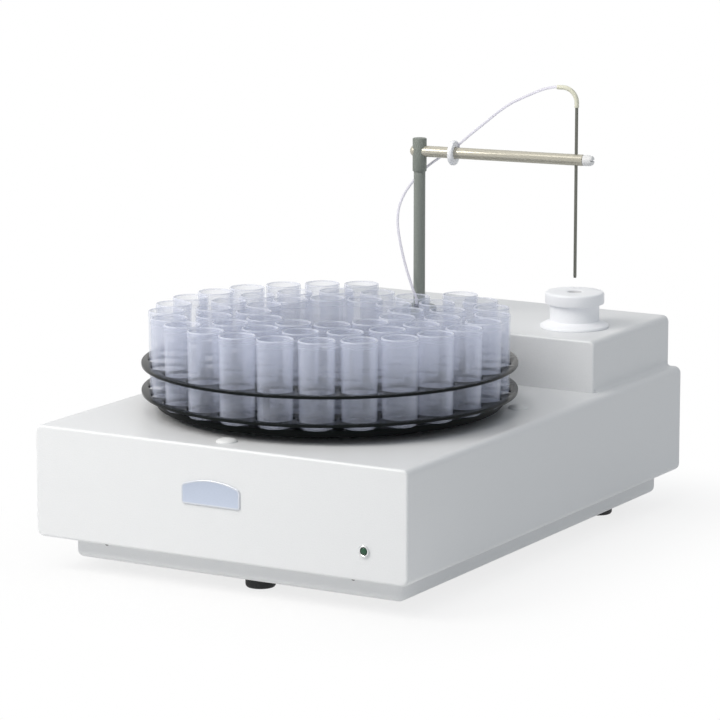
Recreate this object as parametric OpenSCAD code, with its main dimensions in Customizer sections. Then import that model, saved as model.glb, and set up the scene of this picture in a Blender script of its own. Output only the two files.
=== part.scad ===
// Bench autosampler: a housing with a turning rack of sample tubes
// and an arm that swings and lifts a sampling needle.
// Millimetres, +Z up, the origin on the bench at the centre of the footprint.

/* [Housing] */
// Width of the cover, left to right
housing_w = 300; // [296:1:320]
// Depth of the cover, front to back
housing_d = 422; // [418:1:440]
// Height of the cover's side walls
housing_h = 80; // [76:1:90]
// Wall thickness of the cover
cover_t = 2.5; // [2:0.1:3]
// Radius of the bends along the cover's sides
edge_r = 5; // [3:0.5:6]
// Radius of the edges around the cover's front and back
end_r = 2; // [1.5:0.5:2.5]
// Height of the raised rear block above the cover
block_h = 38.5; // [36:0.5:44]
// Depth of the raised rear block
block_d = 127.5; // [125:0.5:129]
// Inset of the rear block from each side of the cover
block_inset = 10.5; // [8:0.5:14]

/* [Base pan and feet] */
// Height of the rubber feet
foot_h = 9.5; // [8:0.5:14]
// Diameter of the rubber feet
foot_d = 21.4; // [18:0.2:26]
// Height of the pan that shows below the cover
pan_reveal = 15.5; // [12:0.5:18]
// Inset of the pan's left side from the cover's left side
pan_left_in = 23; // [16:1:26]
// Inset of the pan's right side from the cover's right side
pan_right_in = 12; // [10:1:15]
// Inset of the pan's front from the cover's front
pan_front = 14; // [12:1:16]
// Inset of the pan's back from the cover's back
pan_back = 16; // [14:1:18]
// Radius of the pan's rounded edges
pan_r = 5; // [3:0.5:6]
// Sheet thickness of the pan
pan_t = 1.5; // [1.2:0.1:2]

/* [Rack] */
// Room between the cover's front and the two drilled discs
rack_front = 18.1; // [17:0.1:20]
// Room between the discs and the rear block
rack_behind = 7.4; // [6.5:0.1:9]
// Thickness of the drilled discs
disc_t = 2; // [1.5:0.1:2.5]
// Inset of the bottom plate from the discs' edge
plate_in = 10.5; // [6:0.5:12]
// Thickness of the bottom plate
plate_t = 4.5; // [4:0.1:7]
// Gap between the cover and the bottom plate
plate_gap = 4.9; // [3:0.1:5]
// Gap between the bottom plate and the lower disc
lower_gap = 4.1; // [3:0.1:6]
// Gap between the two discs
disc_gap = 17.8; // [15:0.2:22]
// Inset of the outer ring of tubes from the discs' edge
outer_in = 18.1; // [17.6:0.1:19]
// Step from the outer ring of tubes to the middle ring
middle_step = 32.4; // [32:0.1:33]
// Step from the middle ring of tubes to the inner ring
inner_step = 30; // [29:0.1:31]

/* [Tubes] */
// Height of a tube
tube_h = 61.6; // [55:0.2:64]
// Outer diameter below the lip
tube_d = 25.4; // [24.6:0.1:25.4]
// Taper of the tube, in diameter
tube_taper = 1; // [0.6:0.1:1.6]
// Reach of the lip beyond the tube
lip_out = 0.3; // [0.25:0.05:0.7]
// Height of the lip
lip_h = 4; // [3:0.2:6]
// Wall thickness of a tube
tube_wall = 1.1; // [0.8:0.05:1.2]
// Room between a tube and its hole in the discs, in diameter
hole_room = 1.4; // [1:0.1:1.8]

/* [Arm] */
// Column axis to the right of the centre
column_x = -25; // [-27:0.5:-23]
// Column axis behind the rear block's front
column_in = 33.5; // [31.5:0.5:35.5]
// Diameter of the column
column_d = 8.8; // [7:0.2:9]
// Height of the arm's axis above the rear block
arm_rise = 124.8; // [112:0.2:140]
// Reach from the column to the needle
arm_reach = 125; // [122:0.5:126]
// Angle of the arm at its rest place
arm_angle = 6.6; // [6:0.1:7]
// Diameter of the arm
arm_d = 8.5; // [8:0.1:9]
// Outer diameter of the sleeve on the column's top
head_d = 10.6; // [10.4:0.1:12]
// Outer diameter of the hose ring
ring_d = 18.6; // [18:0.2:21]
// Place of the hose ring along the arm
ring_at = 27.5; // [26:0.5:28]
// Diameter of the needle
needle_d = 2.4; // [1.8:0.1:2.6]
// Reach of the needle below the arm's axis
needle_down = 88; // [84:0.2:90]
// Reach of the needle above the arm's axis
needle_up = 42.2; // [38:0.2:44]
// Diameter of the sample hose
hose_d = 2; // [1.6:0.1:2.2]

/* [Wash station] */
// Diameter of the flange on the block
wash_flange_d = 51; // [48:0.5:54]
// Diameter of the neck
wash_neck_d = 36.8; // [35:0.2:38]
// Diameter of the cap
wash_cap_d = 44; // [42:0.2:46]
// Height of the cap's underside above the block
wash_neck_h = 17.8; // [16:0.2:20]
// Thickness of the cap
wash_cap_t = 8.7; // [7:0.1:9]
// Diameter of the well for the needle
well_d = 6.4; // [6:0.1:7]

/* [Drives] */
// Side of a stepper motor
motor_w = 42.3; // [41:0.1:43]
// Height of the rack and swing motors
motor_h = 40; // [34:0.5:41]
// Height of the lift motor
lift_motor_h = 34; // [30:0.5:35]
// Distance from the rack's axis to its motor
rack_drive = 72; // [70:0.5:76]
// Distance from the column to the swing motor
swing_drive = 58; // [56:0.5:60]
// Distance from the column to the lift screw
screw_at = 50; // [49:0.5:52]
// Diameter of the lift screw
screw_d = 6; // [5:0.2:6.6]
// Height of the deck plate's top below the cover's underside
deck_drop = 15.5; // [15:0.5:18]
// Height of the lift frame's top below the block's underside
shelf_drop = 17; // [16.5:0.5:19]
// Radial clearance of a running fit
fit = 0.05; // [0.02:0.01:0.09]
// Clearance between two stacked running faces
face_gap = 0.3; // [0.2:0.05:0.4]

/* [Front fittings] */
// Light's distance from the cover's right side
led_in = 33.6; // [26:0.2:40]
// Light's height above the cover's lower edge
led_up = 21.2; // [14:0.2:40]
// Diameter of the light's bezel
led_bezel_d = 8.3; // [7.8:0.1:10]
// Name plate's width
badge_w = 47; // [40:0.5:60]
// Name plate's height
badge_h = 18.2; // [12:0.1:20]
// Name plate's centre above the cover's lower edge
badge_up = 46.9; // [30:0.1:60]

/* [Hidden] */
$fn = 64;

// Heights, from the bench upwards
floor_z = foot_h + pan_t;
cover_z = foot_h + pan_reveal;
top_z = cover_z + housing_h;
top_in = top_z - cover_t;
block_z = top_z + block_h;
block_in = block_z - cover_t;
deck_top = top_in - deck_drop;
deck_t = 3;
deck_z = deck_top - deck_t;
plate_z = top_z + plate_gap;
seat_z = plate_z + plate_t;
lower_z = seat_z + lower_gap;
upper_z = lower_z + disc_t + disc_gap;
rack_top = upper_z + disc_t;
shelf_t = 3;
shelf_top = block_in - shelf_drop;
shelf_z = shelf_top - shelf_t;
arm_z = block_z + arm_rise;

// Plan
front_y = -housing_d / 2;
back_y = housing_d / 2;
side_x = housing_w / 2;
pan_left = side_x - pan_left_in;
pan_right = side_x - pan_right_in;
pan_y0 = front_y + pan_front;
pan_y1 = back_y - pan_back;
block_y = back_y - block_d;
disc_d = housing_d - block_d - rack_front - rack_behind;
plate_d = disc_d - 2 * plate_in;
axis_y = front_y + rack_front + disc_d / 2;
column_y = block_y + column_in;
led_x = side_x - led_in;
block_back = 0.5;
lip_in = 10;
lip_t = 2.5;
needle_xy = [column_x + arm_reach * cos(arm_angle), column_y + arm_reach * sin(arm_angle)];

// Rings of tubes: as many places as leave a web between neighbouring holes,
// with two places of the outer ring left blank
lip_d = tube_d + 2 * lip_out;
tube_foot_d = tube_d - tube_taper;
hole_d = tube_d + hole_room;
outer_r = disc_d / 2 - outer_in;
middle_r = outer_r - middle_step;
inner_r = middle_r - inner_step;
outer_n = ring_count(outer_r, 2);
middle_n = ring_count(middle_r, 3.6);
inner_n = ring_count(inner_r, 0.8);
outer_places = [for (k = [0:outer_n - 1]) if (k != 6 && k != 7) -6.3 + k * 360 / outer_n];
middle_places = [for (k = [0:middle_n - 1]) 11.3 + k * 360 / middle_n];
inner_places = [for (k = [0:inner_n - 1]) 2.3 + k * 360 / inner_n];
spacer_r = outer_r - middle_step / 2;
spacer_d = 5;
spacer_places = [1, 87.5, 188.5, 274.5];

// Fixings
plug_r = disc_d / 2 + 0.1;
plug_places = [-91.2, 30, 150];
pan_screw_up = 2.2;
front_screws = [50 - side_x, side_x - 50];
side_screws = [pan_y0 + 36, (pan_y0 + pan_y1) / 2 + 10.5, pan_y1 - 15];

// Deck, circuit board and power supply
boss_d = 12;
boss_reach = plug_r * cos(30) + boss_d / 2 + 1.4;
deck_x0 = -max(side_x - 26, boss_reach);
deck_x1 = max(side_x - 16, boss_reach);
deck_y0 = front_y + 10;
deck_y1 = block_y - 16.5;
post_x = [19 - pan_left, pan_right - 19];
board_w = 76;
board_up = 18;
board_xy = [-98, pan_y0 + 26];
board_d = axis_y - 16.6 - board_xy[1];
supply_w = 70;
supply_h = 34;
supply_xy = [30, pan_y0 + 24];
supply_d = axis_y - 30.6 - supply_xy[1];

// Drives
spindle_d = 12;
bush_d = 20;
bush_flange_d = 26;
bush_flange_t = 1.5;
rack_pulley_d = 48;
pulley_h = 10;
pinion_d = 16;
shaft_d = 5;
belt_t = 1.6;
belt_w = 6;
turret_d = 16;
turret_bush_d = 22;
swing_pulley_d = 34;
collar_d = 26;
screw_xy = [column_x - screw_at, column_y];
swing_xy = [column_x + swing_drive, column_y];
rack_motor_xy = [rack_drive, axis_y];
column_tail = 44;
column_z = shelf_top - column_tail;
carriage_t = 6;
nut_z = shelf_z - 5 - carriage_t;

// Rear connector bay, from the hose fittings on its left to the mains inlet on its right
barb_x = needle_xy[0] - 106.27;
bay_x0 = barb_x - 12.9;
bay_x1 = side_x - 22;
bay_z0 = cover_z + 17;
bay_z1 = cover_z + 63;
bay_deep = 20;
bay_y = back_y - cover_t - bay_deep;
bay_mid = (bay_z0 + bay_z1) / 2;

// Route of the sample hose beside the arm: along the arm, behind it, above its axis
hose_route = [
  [111, 0, 53.2], [107, 0, 53.1], [99, 0.5, 51.2], [90, 1, 47.5], [81, 1.6, 43.4],
  [72, 2.2, 38.9], [62, 3, 32.1], [52, 3.8, 24.1], [40, 4.8, 14.6], [27, 5.7, 3.8],
  [18, 7, -2], [11, 8, -6.6], [3, 9, -12.4], [-3, 9, -18], [-9, 7.6, -25.2],
  [-14, 4.6, -33.6], [-16.8, 0.6, -43.4], [-16.4, -3.4, -54.6], [-13.2, -6.4, -68.2],
  [-8, -8.6, -85.2], [-2, -9.6, -101.5], [1.4, -9.8, -109.6], [2, -9.8, -115.2]
];

// Routes of the two hoses between the wash station and the rear fittings,
// measured from the station across, to the back, and up from the block's top
waste_route = [
  [0, 0, -44], [0, 0, -50], [-2, 2, -60], [-8, 8, -71], [-20, 17, -81], [-36, 24, -88],
  [-56, 25, -90], [-76, 25, -89], [-92, 26, -87.6], [-102, 30, -86.8], [-105.6, 36, -86.5],
  [-106, 41.8, -86.5]
];
feed_route = [
  [-12, 0, -14], [-16, 0.6, -15], [-23, 6, -19], [-30, 16, -28], [-38, 24, -40],
  [-50, 26, -54], [-66, 26, -65], [-84, 26, -70], [-98, 28, -71], [-105, 35, -70.5],
  [-106, 41.8, -70.5]
];

function ring_count(r, web) = floor(180 / asin((hole_d + web) / (2 * r)));
function unit(v) = v / norm(v);
function smooth(a, b, c, d, t) =
  0.5 * (2 * b + (c - a) * t + (2 * a - 5 * b + 4 * c - d) * t * t
  + (3 * b - a - 3 * c + d) * t * t * t);
function pick(p, i) = p[max(0, min(len(p) - 1, i))];
function swept(p, steps) = concat(
  [for (i = [0:len(p) - 2]) for (j = [0:steps - 1])
    smooth(pick(p, i - 1), p[i], p[i + 1], pick(p, i + 2), j / steps)],
  [p[len(p) - 1]]);
function along(p, i) = unit(pick(p, i + 1) - pick(p, i - 1));
// The hose's points beyond its ring follow the arm's reach
function on_arm(p) = [for (q = p) q[0] > ring_at
  ? [ring_at + (q[0] - ring_at) * (arm_reach - 18 - ring_at) / (107 - ring_at), q[1], q[2]]
  : q];
// The wash hoses' points drift along with the place where their fittings stand
function to_bay(p) = [for (i = [0:len(p) - 1])
  p[i] + i / (len(p) - 1)
    * [barb_x - needle_xy[0] + 106, bay_y - 13.168 - needle_xy[1] - 41.8, 0]];

module box(lo, hi) {
  translate(lo) cube(hi - lo);
}

// Box between two corners with every edge and corner rounded
module soft_box(lo, hi, r) {
  a = lo + [r, r, r];
  b = hi - [r, r, r];
  box([a[0], a[1], lo[2]], [b[0], b[1], hi[2]]);
  box([a[0], lo[1], a[2]], [b[0], hi[1], b[2]]);
  box([lo[0], a[1], a[2]], [hi[0], b[1], b[2]]);
  for (x = [a[0], b[0]]) {
    for (y = [a[1], b[1]]) {
      translate([x, y, a[2]]) cylinder(r = r, h = b[2] - a[2]);
      for (z = [a[2], b[2]]) translate([x, y, z]) sphere(r = r);
    }
    for (z = [a[2], b[2]])
      translate([x, a[1], z]) rotate([-90, 0, 0]) cylinder(r = r, h = b[1] - a[1]);
  }
  for (y = [a[1], b[1]]) for (z = [a[2], b[2]])
    translate([a[0], y, z]) rotate([0, 90, 0]) cylinder(r = r, h = b[0] - a[0]);
}

// Bar along Y with rounded corners, between two corners
module y_bar(lo, hi, r) {
  box([lo[0] + r, lo[1], lo[2]], [hi[0] - r, hi[1], hi[2]]);
  box([lo[0], lo[1], lo[2] + r], [hi[0], hi[1], hi[2] - r]);
  for (x = [lo[0] + r, hi[0] - r]) for (z = [lo[2] + r, hi[2] - r])
    translate([x, lo[1], z]) rotate([-90, 0, 0]) cylinder(r = r, h = hi[1] - lo[1]);
}

// Box bent along Y with one radius, with a smaller one around its front and back
module bent_box(lo, hi, r, e) {
  y_bar(lo + [0, e, 0], hi - [0, e, 0], r);
  y_bar(lo + [e, 0, e], hi - [e, 0, e], r - e);
  for (y = [lo[1] + e, hi[1] - e]) {
    for (z = [lo[2] + e, hi[2] - e])
      translate([lo[0] + r, y, z]) rotate([0, 90, 0]) cylinder(r = e, h = hi[0] - lo[0] - 2 * r);
    for (x = [lo[0] + e, hi[0] - e])
      translate([x, y, lo[2] + r]) cylinder(r = e, h = hi[2] - lo[2] - 2 * r);
    for (x = [lo[0] + r, hi[0] - r]) for (z = [lo[2] + r, hi[2] - r])
      translate([x, y, z]) rotate([-90, 0, 0]) rotate_extrude() translate([r - e, 0]) circle(r = e);
  }
}

// Plate with rounded corners, between two corners seen from above
module soft_plate(lo, hi, r) {
  box([lo[0] + r, lo[1], lo[2]], [hi[0] - r, hi[1], hi[2]]);
  box([lo[0], lo[1] + r, lo[2]], [hi[0], hi[1] - r, hi[2]]);
  for (x = [lo[0] + r, hi[0] - r]) {
    for (y = [lo[1] + r, hi[1] - r]) {
      translate([x, y, lo[2]]) cylinder(r = r, h = hi[2] - lo[2]);
    }
  }
}

module rod(d, z0, z1) {
  translate([0, 0, z0]) cylinder(d = d, h = z1 - z0);
}

module ring(d_out, d_in, z0, z1) {
  difference() {
    rod(d_out, z0, z1);
    rod(d_in, z0 - 1, z1 + 1);
  }
}

module at_rack() {
  translate([0, axis_y, 0]) children();
}

module at_plugs() {
  at_rack() for (a = plug_places) rotate(a) translate([plug_r, 0, 0]) children();
}

module at_column() {
  translate([column_x, column_y, 0]) children();
}

// X runs along the arm from the column, Y behind it
module at_arm() {
  at_column() rotate(arm_angle) children();
}

module at_needle() {
  translate([needle_xy[0], needle_xy[1], 0]) children();
}

// Tube swept along points, with eight sides
module hose(p, d, side) {
  n = len(p);
  s = 8;
  polyhedron(
    points = [for (i = [0:n - 1]) for (k = [0:s - 1])
      let (t = along(p, i), a = unit(cross(t, side)), b = cross(t, a))
      p[i] + d / 2 * (a * cos(k * 360 / s) + b * sin(k * 360 / s))],
    faces = concat(
      [[for (k = [0:s - 1]) s - 1 - k]],
      [[for (k = [0:s - 1]) (n - 1) * s + k]],
      [for (i = [0:n - 2]) for (k = [0:s - 1])
        [i * s + k, i * s + (k + 1) % s, (i + 1) * s + (k + 1) % s]],
      [for (i = [0:n - 2]) for (k = [0:s - 1])
        [i * s + k, (i + 1) * s + (k + 1) % s, (i + 1) * s + k]]),
    convexity = 6);
}

// Housing

module cover_tab() {
  difference() {
    translate([-7, pan_t + 0.3, foot_h + pan_t + 0.6])
      cube([14, 3, pan_reveal - pan_t]);
    translate([0, 0, cover_z - pan_screw_up]) rotate([-90, 0, 0])
      cylinder(d = 3 + 2 * fit, h = 12);
  }
}

module at_pan_screws() {
  for (x = front_screws) translate([x, pan_y0, 0]) children();
  for (y = side_screws) {
    translate([pan_right, y, 0]) rotate(90) children();
    translate([-pan_left, y, 0]) rotate(-90) children();
  }
}

module cover() {
  color("white") {
    difference() {
      union() {
        bent_box([-side_x, front_y, cover_z], [side_x, back_y, top_z], edge_r, end_r);
        bent_box([block_inset - side_x, block_y, top_z - 20],
          [side_x - block_inset, back_y - block_back, block_z], edge_r, end_r);
      }
      box([cover_t - side_x, front_y + cover_t, cover_z + lip_t],
        [side_x - cover_t, back_y - cover_t, top_in]);
      box([block_inset + cover_t - side_x, block_y + cover_t, top_in - 1],
        [side_x - block_inset - cover_t, back_y - block_back - cover_t, block_in]);
      box([lip_in - pan_left, pan_y0 + lip_in, cover_z - 1],
        [pan_right - lip_in, pan_y1 - lip_in, cover_z + lip_t + 1]);
      at_rack() rod(52, top_in - 1, top_z + 1);
      at_plugs() rod(4.4, top_in - 1, top_z + 1);
      at_column() rod(turret_d + 2, block_in - 1, block_z + 1);
      at_needle() rod(24.6, block_in - 1, block_z + 1);
      translate([led_x, front_y - 1, cover_z + led_up]) rotate([-90, 0, 0])
        cylinder(d = 6.2, h = cover_t + 2);
      box([bay_x0, back_y - cover_t - 1, bay_z0], [bay_x1, back_y + 1, bay_z1]);
      at_panel_screws() cylinder(d = 3.2, h = cover_t + 2, center = true);
    }
    at_pan_screws() cover_tab();
  }
}

module base_pan() {
  color("white") difference() {
    soft_box([-pan_left, pan_y0, foot_h],
      [pan_right, pan_y1, cover_z + 2 * pan_r], pan_r);
    box([-pan_left - 1, pan_y0 - 1, cover_z],
      [pan_right + 1, pan_y1 + 1, cover_z + 3 * pan_r]);
    soft_plate([pan_t - pan_left, pan_y0 + pan_t, floor_z],
      [pan_right - pan_t, pan_y1 - pan_t, cover_z + 1], pan_r - pan_t);
    at_pan_screws() translate([0, 0, cover_z - pan_screw_up]) rotate([-90, 0, 0])
      cylinder(d = 3.2, h = 12, center = true);
  }
}

module at_feet() {
  foot_mid = (pan_right - pan_left) / 2;
  translate([foot_mid + 5.3, front_y + 39.5, 0]) children();
  foot_side = (pan_left + pan_right) / 2 - 24.7;
  for (s = [-1, 1]) translate([foot_mid + s * foot_side, back_y - 65.4, 0]) children();
}

module feet() {
  color("#1c1c1c") at_feet() rotate_extrude() polygon([
    [0, 0], [foot_d / 2 - 1.6, 0], [foot_d / 2 - 0.5, 0.6], [foot_d / 2, 1.8],
    [foot_d / 2, foot_h - 0.6], [foot_d / 2 - 0.6, foot_h], [0, foot_h]]);
}

module pan_screws() {
  color("#3c3c3c") at_pan_screws() translate([0, 0, cover_z - pan_screw_up])
    rotate([-90, 0, 0]) {
      translate([0, 0, -1]) cylinder(d = 4, h = 1);
      cylinder(d = 3, h = 6);
    }
}

module name_plate() {
  color("#dfe0e2") translate([-4.5, front_y, cover_z + badge_up]) rotate([90, 0, 0])
    intersection() {
      soft_plate([-badge_w / 2, -badge_h / 2, 0], [badge_w / 2, badge_h / 2, 1], 2);
      translate([0, badge_h / 2 - badge_w * 1.325, 0])
        cylinder(r = badge_w * 1.325, h = 1, $fn = 200);
    }
}

module led_bezel() {
  color("#c8cacc") translate([led_x, front_y, cover_z + led_up]) rotate([90, 0, 0])
    difference() {
      union() {
        rod(led_bezel_d, 0, 1.5);
        rod(5.6, -8, 0.5);
      }
      rod(5, -9, 3);
    }
}

module led_lens() {
  color("#1e4a32") translate([led_x, front_y, cover_z + led_up]) rotate([90, 0, 0])
    rotate_extrude() polygon([[0, -7.8], [2.4, -7.8], [2.4, 0.4], [1.9, 0.9], [1.1, 1.25],
      [0, 1.4]]);
}

module cover_plugs() {
  color("#f2f2f2") at_plugs() translate([0, 0, top_z]) rotate_extrude() polygon([
    [4.2, 0], [7.3, 0], [7.3, 0.7], [6.4, 1.5], [4.6, 2.2], [2.4, 2.6], [0, 2.7],
    [0, 1.8], [4.2, 1.8]]);
}

module cover_screws() {
  color("#6a6a6a") at_plugs() {
    rod(7.6, top_z, top_z + 1.5);
    rod(3.9, top_z - 12, top_z + 0.5);
  }
}

// Deck and rack drive

module deck_plate() {
  color("#b8bcc0") difference() {
    union() {
      box([deck_x0, deck_y0, deck_z], [deck_x1, deck_y1, deck_top]);
      at_plugs() rod(boss_d, deck_top - 1, top_in);
    }
    at_rack() rod(34.6, deck_z - 1, deck_top + 1);
    translate([rack_motor_xy[0], rack_motor_xy[1], 0])
      rod(22.4, deck_z - 1, deck_top + 1);
    at_plugs() rod(4, top_z - 14, top_z);
  }
}

module deck_posts() {
  color("#a4a8ac")
    for (x = post_x) for (y = [deck_y0 + 23, deck_y1 - 9])
      translate([x, y, 0]) rod(10, floor_z, deck_z);
}

module spindle_housing() {
  color("#c4c8cc") at_rack() difference() {
    union() {
      rod(34, deck_top - 37, deck_top);
      rod(60, deck_z - 4, deck_z);
    }
    rod(bush_d, deck_top - 38, deck_top + 1);
  }
}

module spindle_bushes() {
  color("#b08a50") at_rack() {
    difference() {
      union() {
        rod(bush_d, deck_top - 8, deck_top);
        rod(bush_flange_d, deck_top, deck_top + bush_flange_t);
      }
      rod(spindle_d + 2 * fit, deck_top - 9, deck_top + 3);
    }
    difference() {
      union() {
        rod(bush_d, deck_top - 37, deck_top - 29);
        rod(bush_flange_d, deck_top - 37 - bush_flange_t, deck_top - 37);
      }
      rod(spindle_d + 2 * fit, deck_top - 40, deck_top - 28);
    }
  }
}

module motor(z0, z1) {
  difference() {
    union() {
      intersection() {
        box([-motor_w / 2, -motor_w / 2, z0], [motor_w / 2, motor_w / 2, z1]);
        rotate(45) box([-26, -26, z0], [26, 26, z1]);
      }
      rod(22, z1 - 1, z1 + 2);
    }
    rod(shaft_d + 2 * fit, z0 + 8, z1 + 3);
  }
}

module stepper_motors() {
  color("#2c2c2e") {
    translate([rack_motor_xy[0], rack_motor_xy[1], 0]) motor(deck_z - motor_h, deck_z);
    translate([swing_xy[0], swing_xy[1], 0]) motor(shelf_z - motor_h, shelf_z);
    translate([screw_xy[0], screw_xy[1], 0]) motor(floor_z, floor_z + lift_motor_h);
  }
}

// Belt round two pulleys whose centres lie along X
module belt(d1, d2, reach, z0) {
  translate([0, 0, z0]) linear_extrude(belt_w) difference() {
    hull() {
      circle(d = d1 + 0.6 + 2 * belt_t);
      translate([reach, 0]) circle(d = d2 + 0.6 + 2 * belt_t);
    }
    hull() {
      circle(d = d1 + 0.6);
      translate([reach, 0]) circle(d = d2 + 0.6);
    }
  }
}

rack_belt_z = deck_top + bush_flange_t + face_gap;
swing_belt_z = shelf_top + bush_flange_t + face_gap;

module drive_belts() {
  color("#181818") {
    at_rack() belt(rack_pulley_d, pinion_d, rack_drive, rack_belt_z + 2);
    at_column() belt(swing_pulley_d, pinion_d, swing_drive, swing_belt_z + 2);
  }
}

module pulley(d, bore, z0) {
  difference() {
    union() {
      rod(d, z0, z0 + pulley_h);
      rod(d + 2, z0, z0 + 1.4);
    }
    rod(bore, z0 - 1, z0 + pulley_h + 1);
  }
}

module pinion(z0) {
  rod(pinion_d, z0, z0 + pulley_h);
  rod(pinion_d + 2, z0, z0 + 1.4);
  rod(shaft_d, z0 - 22, z0 + 1);
}

module drive_pulley() {
  color("#a8acb0") translate([rack_motor_xy[0], rack_motor_xy[1], 0]) pinion(rack_belt_z);
}

module swing_pulley() {
  color("#a8acb0") translate([swing_xy[0], swing_xy[1], 0]) pinion(swing_belt_z);
}

// Rack

module spindle() {
  color("#b4b8bc") at_rack() {
    rod(spindle_d, deck_top - 42, rack_top + 9);
    rod(68, plate_z - 2.6, plate_z);
    rod(18, rack_belt_z + pulley_h, plate_z - 2);
    rod(15, deck_top - 37 - bush_flange_t - face_gap - 1.5,
      deck_top - 37 - bush_flange_t - face_gap);
  }
}

module spindle_pulley() {
  color("#9a9ea2") at_rack() pulley(rack_pulley_d, spindle_d, rack_belt_z);
}

module rack_plate() {
  color("#141414") at_rack() difference() {
    rod(plate_d, plate_z, seat_z);
    rod(spindle_d + 0.6, plate_z - 1, seat_z + 1);
  }
}

module at_places(places, r) {
  at_rack() for (a = places) rotate(a) translate([r, 0, 0]) children();
}

module drilled_disc(z) {
  difference() {
    at_rack() rod(disc_d, z, z + disc_t);
    at_rack() rod(spindle_d + 0.6, z - 1, z + disc_t + 1);
    at_places(outer_places, outer_r) rod(hole_d, z - 1, z + disc_t + 1);
    at_places(middle_places, middle_r) rod(hole_d, z - 1, z + disc_t + 1);
    at_places(inner_places, inner_r) rod(hole_d, z - 1, z + disc_t + 1);
  }
}

module lower_disc() {
  color("#161616") drilled_disc(lower_z);
}

module upper_disc() {
  color("#161616") drilled_disc(upper_z);
}

module rack_spacers() {
  color("#8c9094") at_places(spacer_places, spacer_r) {
    rod(spacer_d, seat_z, lower_z);
    rod(spacer_d, lower_z + disc_t, upper_z);
  }
}

module rack_nut() {
  color("#1a1a1a") at_rack() ring(20, spindle_d, rack_top, rack_top + 8);
}

// Open tube with a slight taper, a lip and a flat foot
module tube() {
  r = tube_d / 2;
  f = tube_foot_d / 2;
  rise = tube_h - lip_h;
  translate([0, 0, seat_z]) rotate_extrude() polygon([
    [0, 0], [f - 1, 0], [f, 1], [r, rise - 0.7], [lip_d / 2, rise], [lip_d / 2, tube_h],
    [r - tube_wall, tube_h], [f - tube_wall, 2.4], [f - tube_wall - 1.2, 1.2], [0, 1.2]]);
}

module outer_tubes() {
  color("#dcdcea") at_places(outer_places, outer_r) tube();
}

module middle_tubes() {
  color("#dcdcea") at_places(middle_places, middle_r) tube();
}

module inner_tubes() {
  color("#dcdcea") at_places(inner_places, inner_r) tube();
}

// Lift and swing unit

module lift_frame() {
  web_y = column_y + 33;
  end_x = min(swing_xy[0] + 26, needle_xy[0] - 39);
  color("#b8bcc0") difference() {
    union() {
      box([screw_xy[0] - 24, web_y, floor_z], [end_x, web_y + 3, shelf_top]);
      box([screw_xy[0] - 24, block_y + cover_t + 7, shelf_z],
        [end_x, web_y + 1, shelf_top]);
      box([screw_xy[0] - 24, web_y, floor_z],
        [end_x, web_y + 28, floor_z + 3]);
    }
    at_column() rod(turret_bush_d, shelf_z - 1, shelf_top + 1);
    translate([swing_xy[0], swing_xy[1], 0]) rod(22.4, shelf_z - 1, shelf_top + 1);
    translate([screw_xy[0], screw_xy[1], 0])
      rod(screw_d + 2 * fit, shelf_z - 1, shelf_top + 1);
  }
}

module turret_bush() {
  color("#b08a50") at_column() difference() {
    union() {
      rod(turret_bush_d, shelf_top - 16, shelf_top);
      rod(turret_bush_d + 5, shelf_top, shelf_top + bush_flange_t);
    }
    rod(turret_d + 2 * fit, shelf_top - 17, shelf_top + 3);
  }
}

module turret_tube() {
  color("#9ca0a2") at_column()
    ring(turret_d, column_d + 2 * fit, shelf_top - 18, block_z + 6);
}

module turret_pulley() {
  color("#9a9ea2") at_column() pulley(swing_pulley_d, turret_d, swing_belt_z);
}

module turret_collar() {
  color("#a9aea8") at_arm() difference() {
    union() {
      rod(collar_d, block_z + face_gap, block_z + 7.2);
      translate([2, -9.8, 0]) rod(4.6, block_z + 7, block_z + 10);
    }
    rod(turret_d, block_z - 1, block_z + 6);
    rod(column_d + 2 * fit, block_z + 5, block_z + 9);
    translate([2, -9.8, 0]) rod(hose_d + 0.6, block_z - 1, block_z + 12);
  }
}

module column() {
  color("#9aa09a") at_column() rod(column_d, column_z, arm_z - 7);
}

module column_collars() {
  color("#6c7074") at_column() {
    ring(16, column_d, column_z, column_z + 4);
    ring(16, column_d, column_z + 4 + carriage_t + 2 * face_gap,
      column_z + 8 + carriage_t + 2 * face_gap);
  }
}

module arm_head() {
  r = head_d / 2;
  color("#8c918b") at_arm() difference() {
    translate([0, 0, arm_z]) rotate_extrude() polygon([
      [0, -15.4], [r - 0.6, -15.4], [r, -14.6], [r, 9.2], [r - 0.7, 9.8], [0, 9.8]]);
    rod(column_d, arm_z - 18, arm_z - 7);
    translate([-20, 0, arm_z]) rotate([0, 90, 0]) cylinder(d = arm_d, h = 40);
  }
}

module arm_rod() {
  color("#b9b29a") at_arm() difference() {
    translate([0, 0, arm_z]) rotate([0, 90, 0]) rotate_extrude() polygon([
      [0, -7.4], [arm_d / 4, -7.1], [arm_d * 0.4, -6.2], [arm_d / 2, -4.6],
      [arm_d / 2, arm_reach + 5], [arm_d / 2 - 0.5, arm_reach + 5.5], [0, arm_reach + 5.5]]);
    translate([arm_reach, 0, 0]) rod(needle_d, arm_z - 8, arm_z + 8);
    translate([arm_reach, 0, arm_z]) rotate([0, 90, 0])
      cylinder(d = 4 + 2 * fit, h = 12);
  }
}

module clamp_screw() {
  color("#f4f4f4") at_arm() translate([arm_reach, 0, arm_z]) rotate([0, 90, 0])
    difference() {
      union() {
        rod(4, needle_d / 2 + 0.3, 7);
        translate([0, 0, 5.8]) rotate_extrude() polygon([
          [0, 0], [4.1, 0], [4.1, 3], [3.8, 6], [3.3, 7.4], [2.4, 7.8], [0, 7.8]]);
      }
      box([-0.6, -6, 12.2], [0.6, 6, 17]);
    }
}

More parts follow.
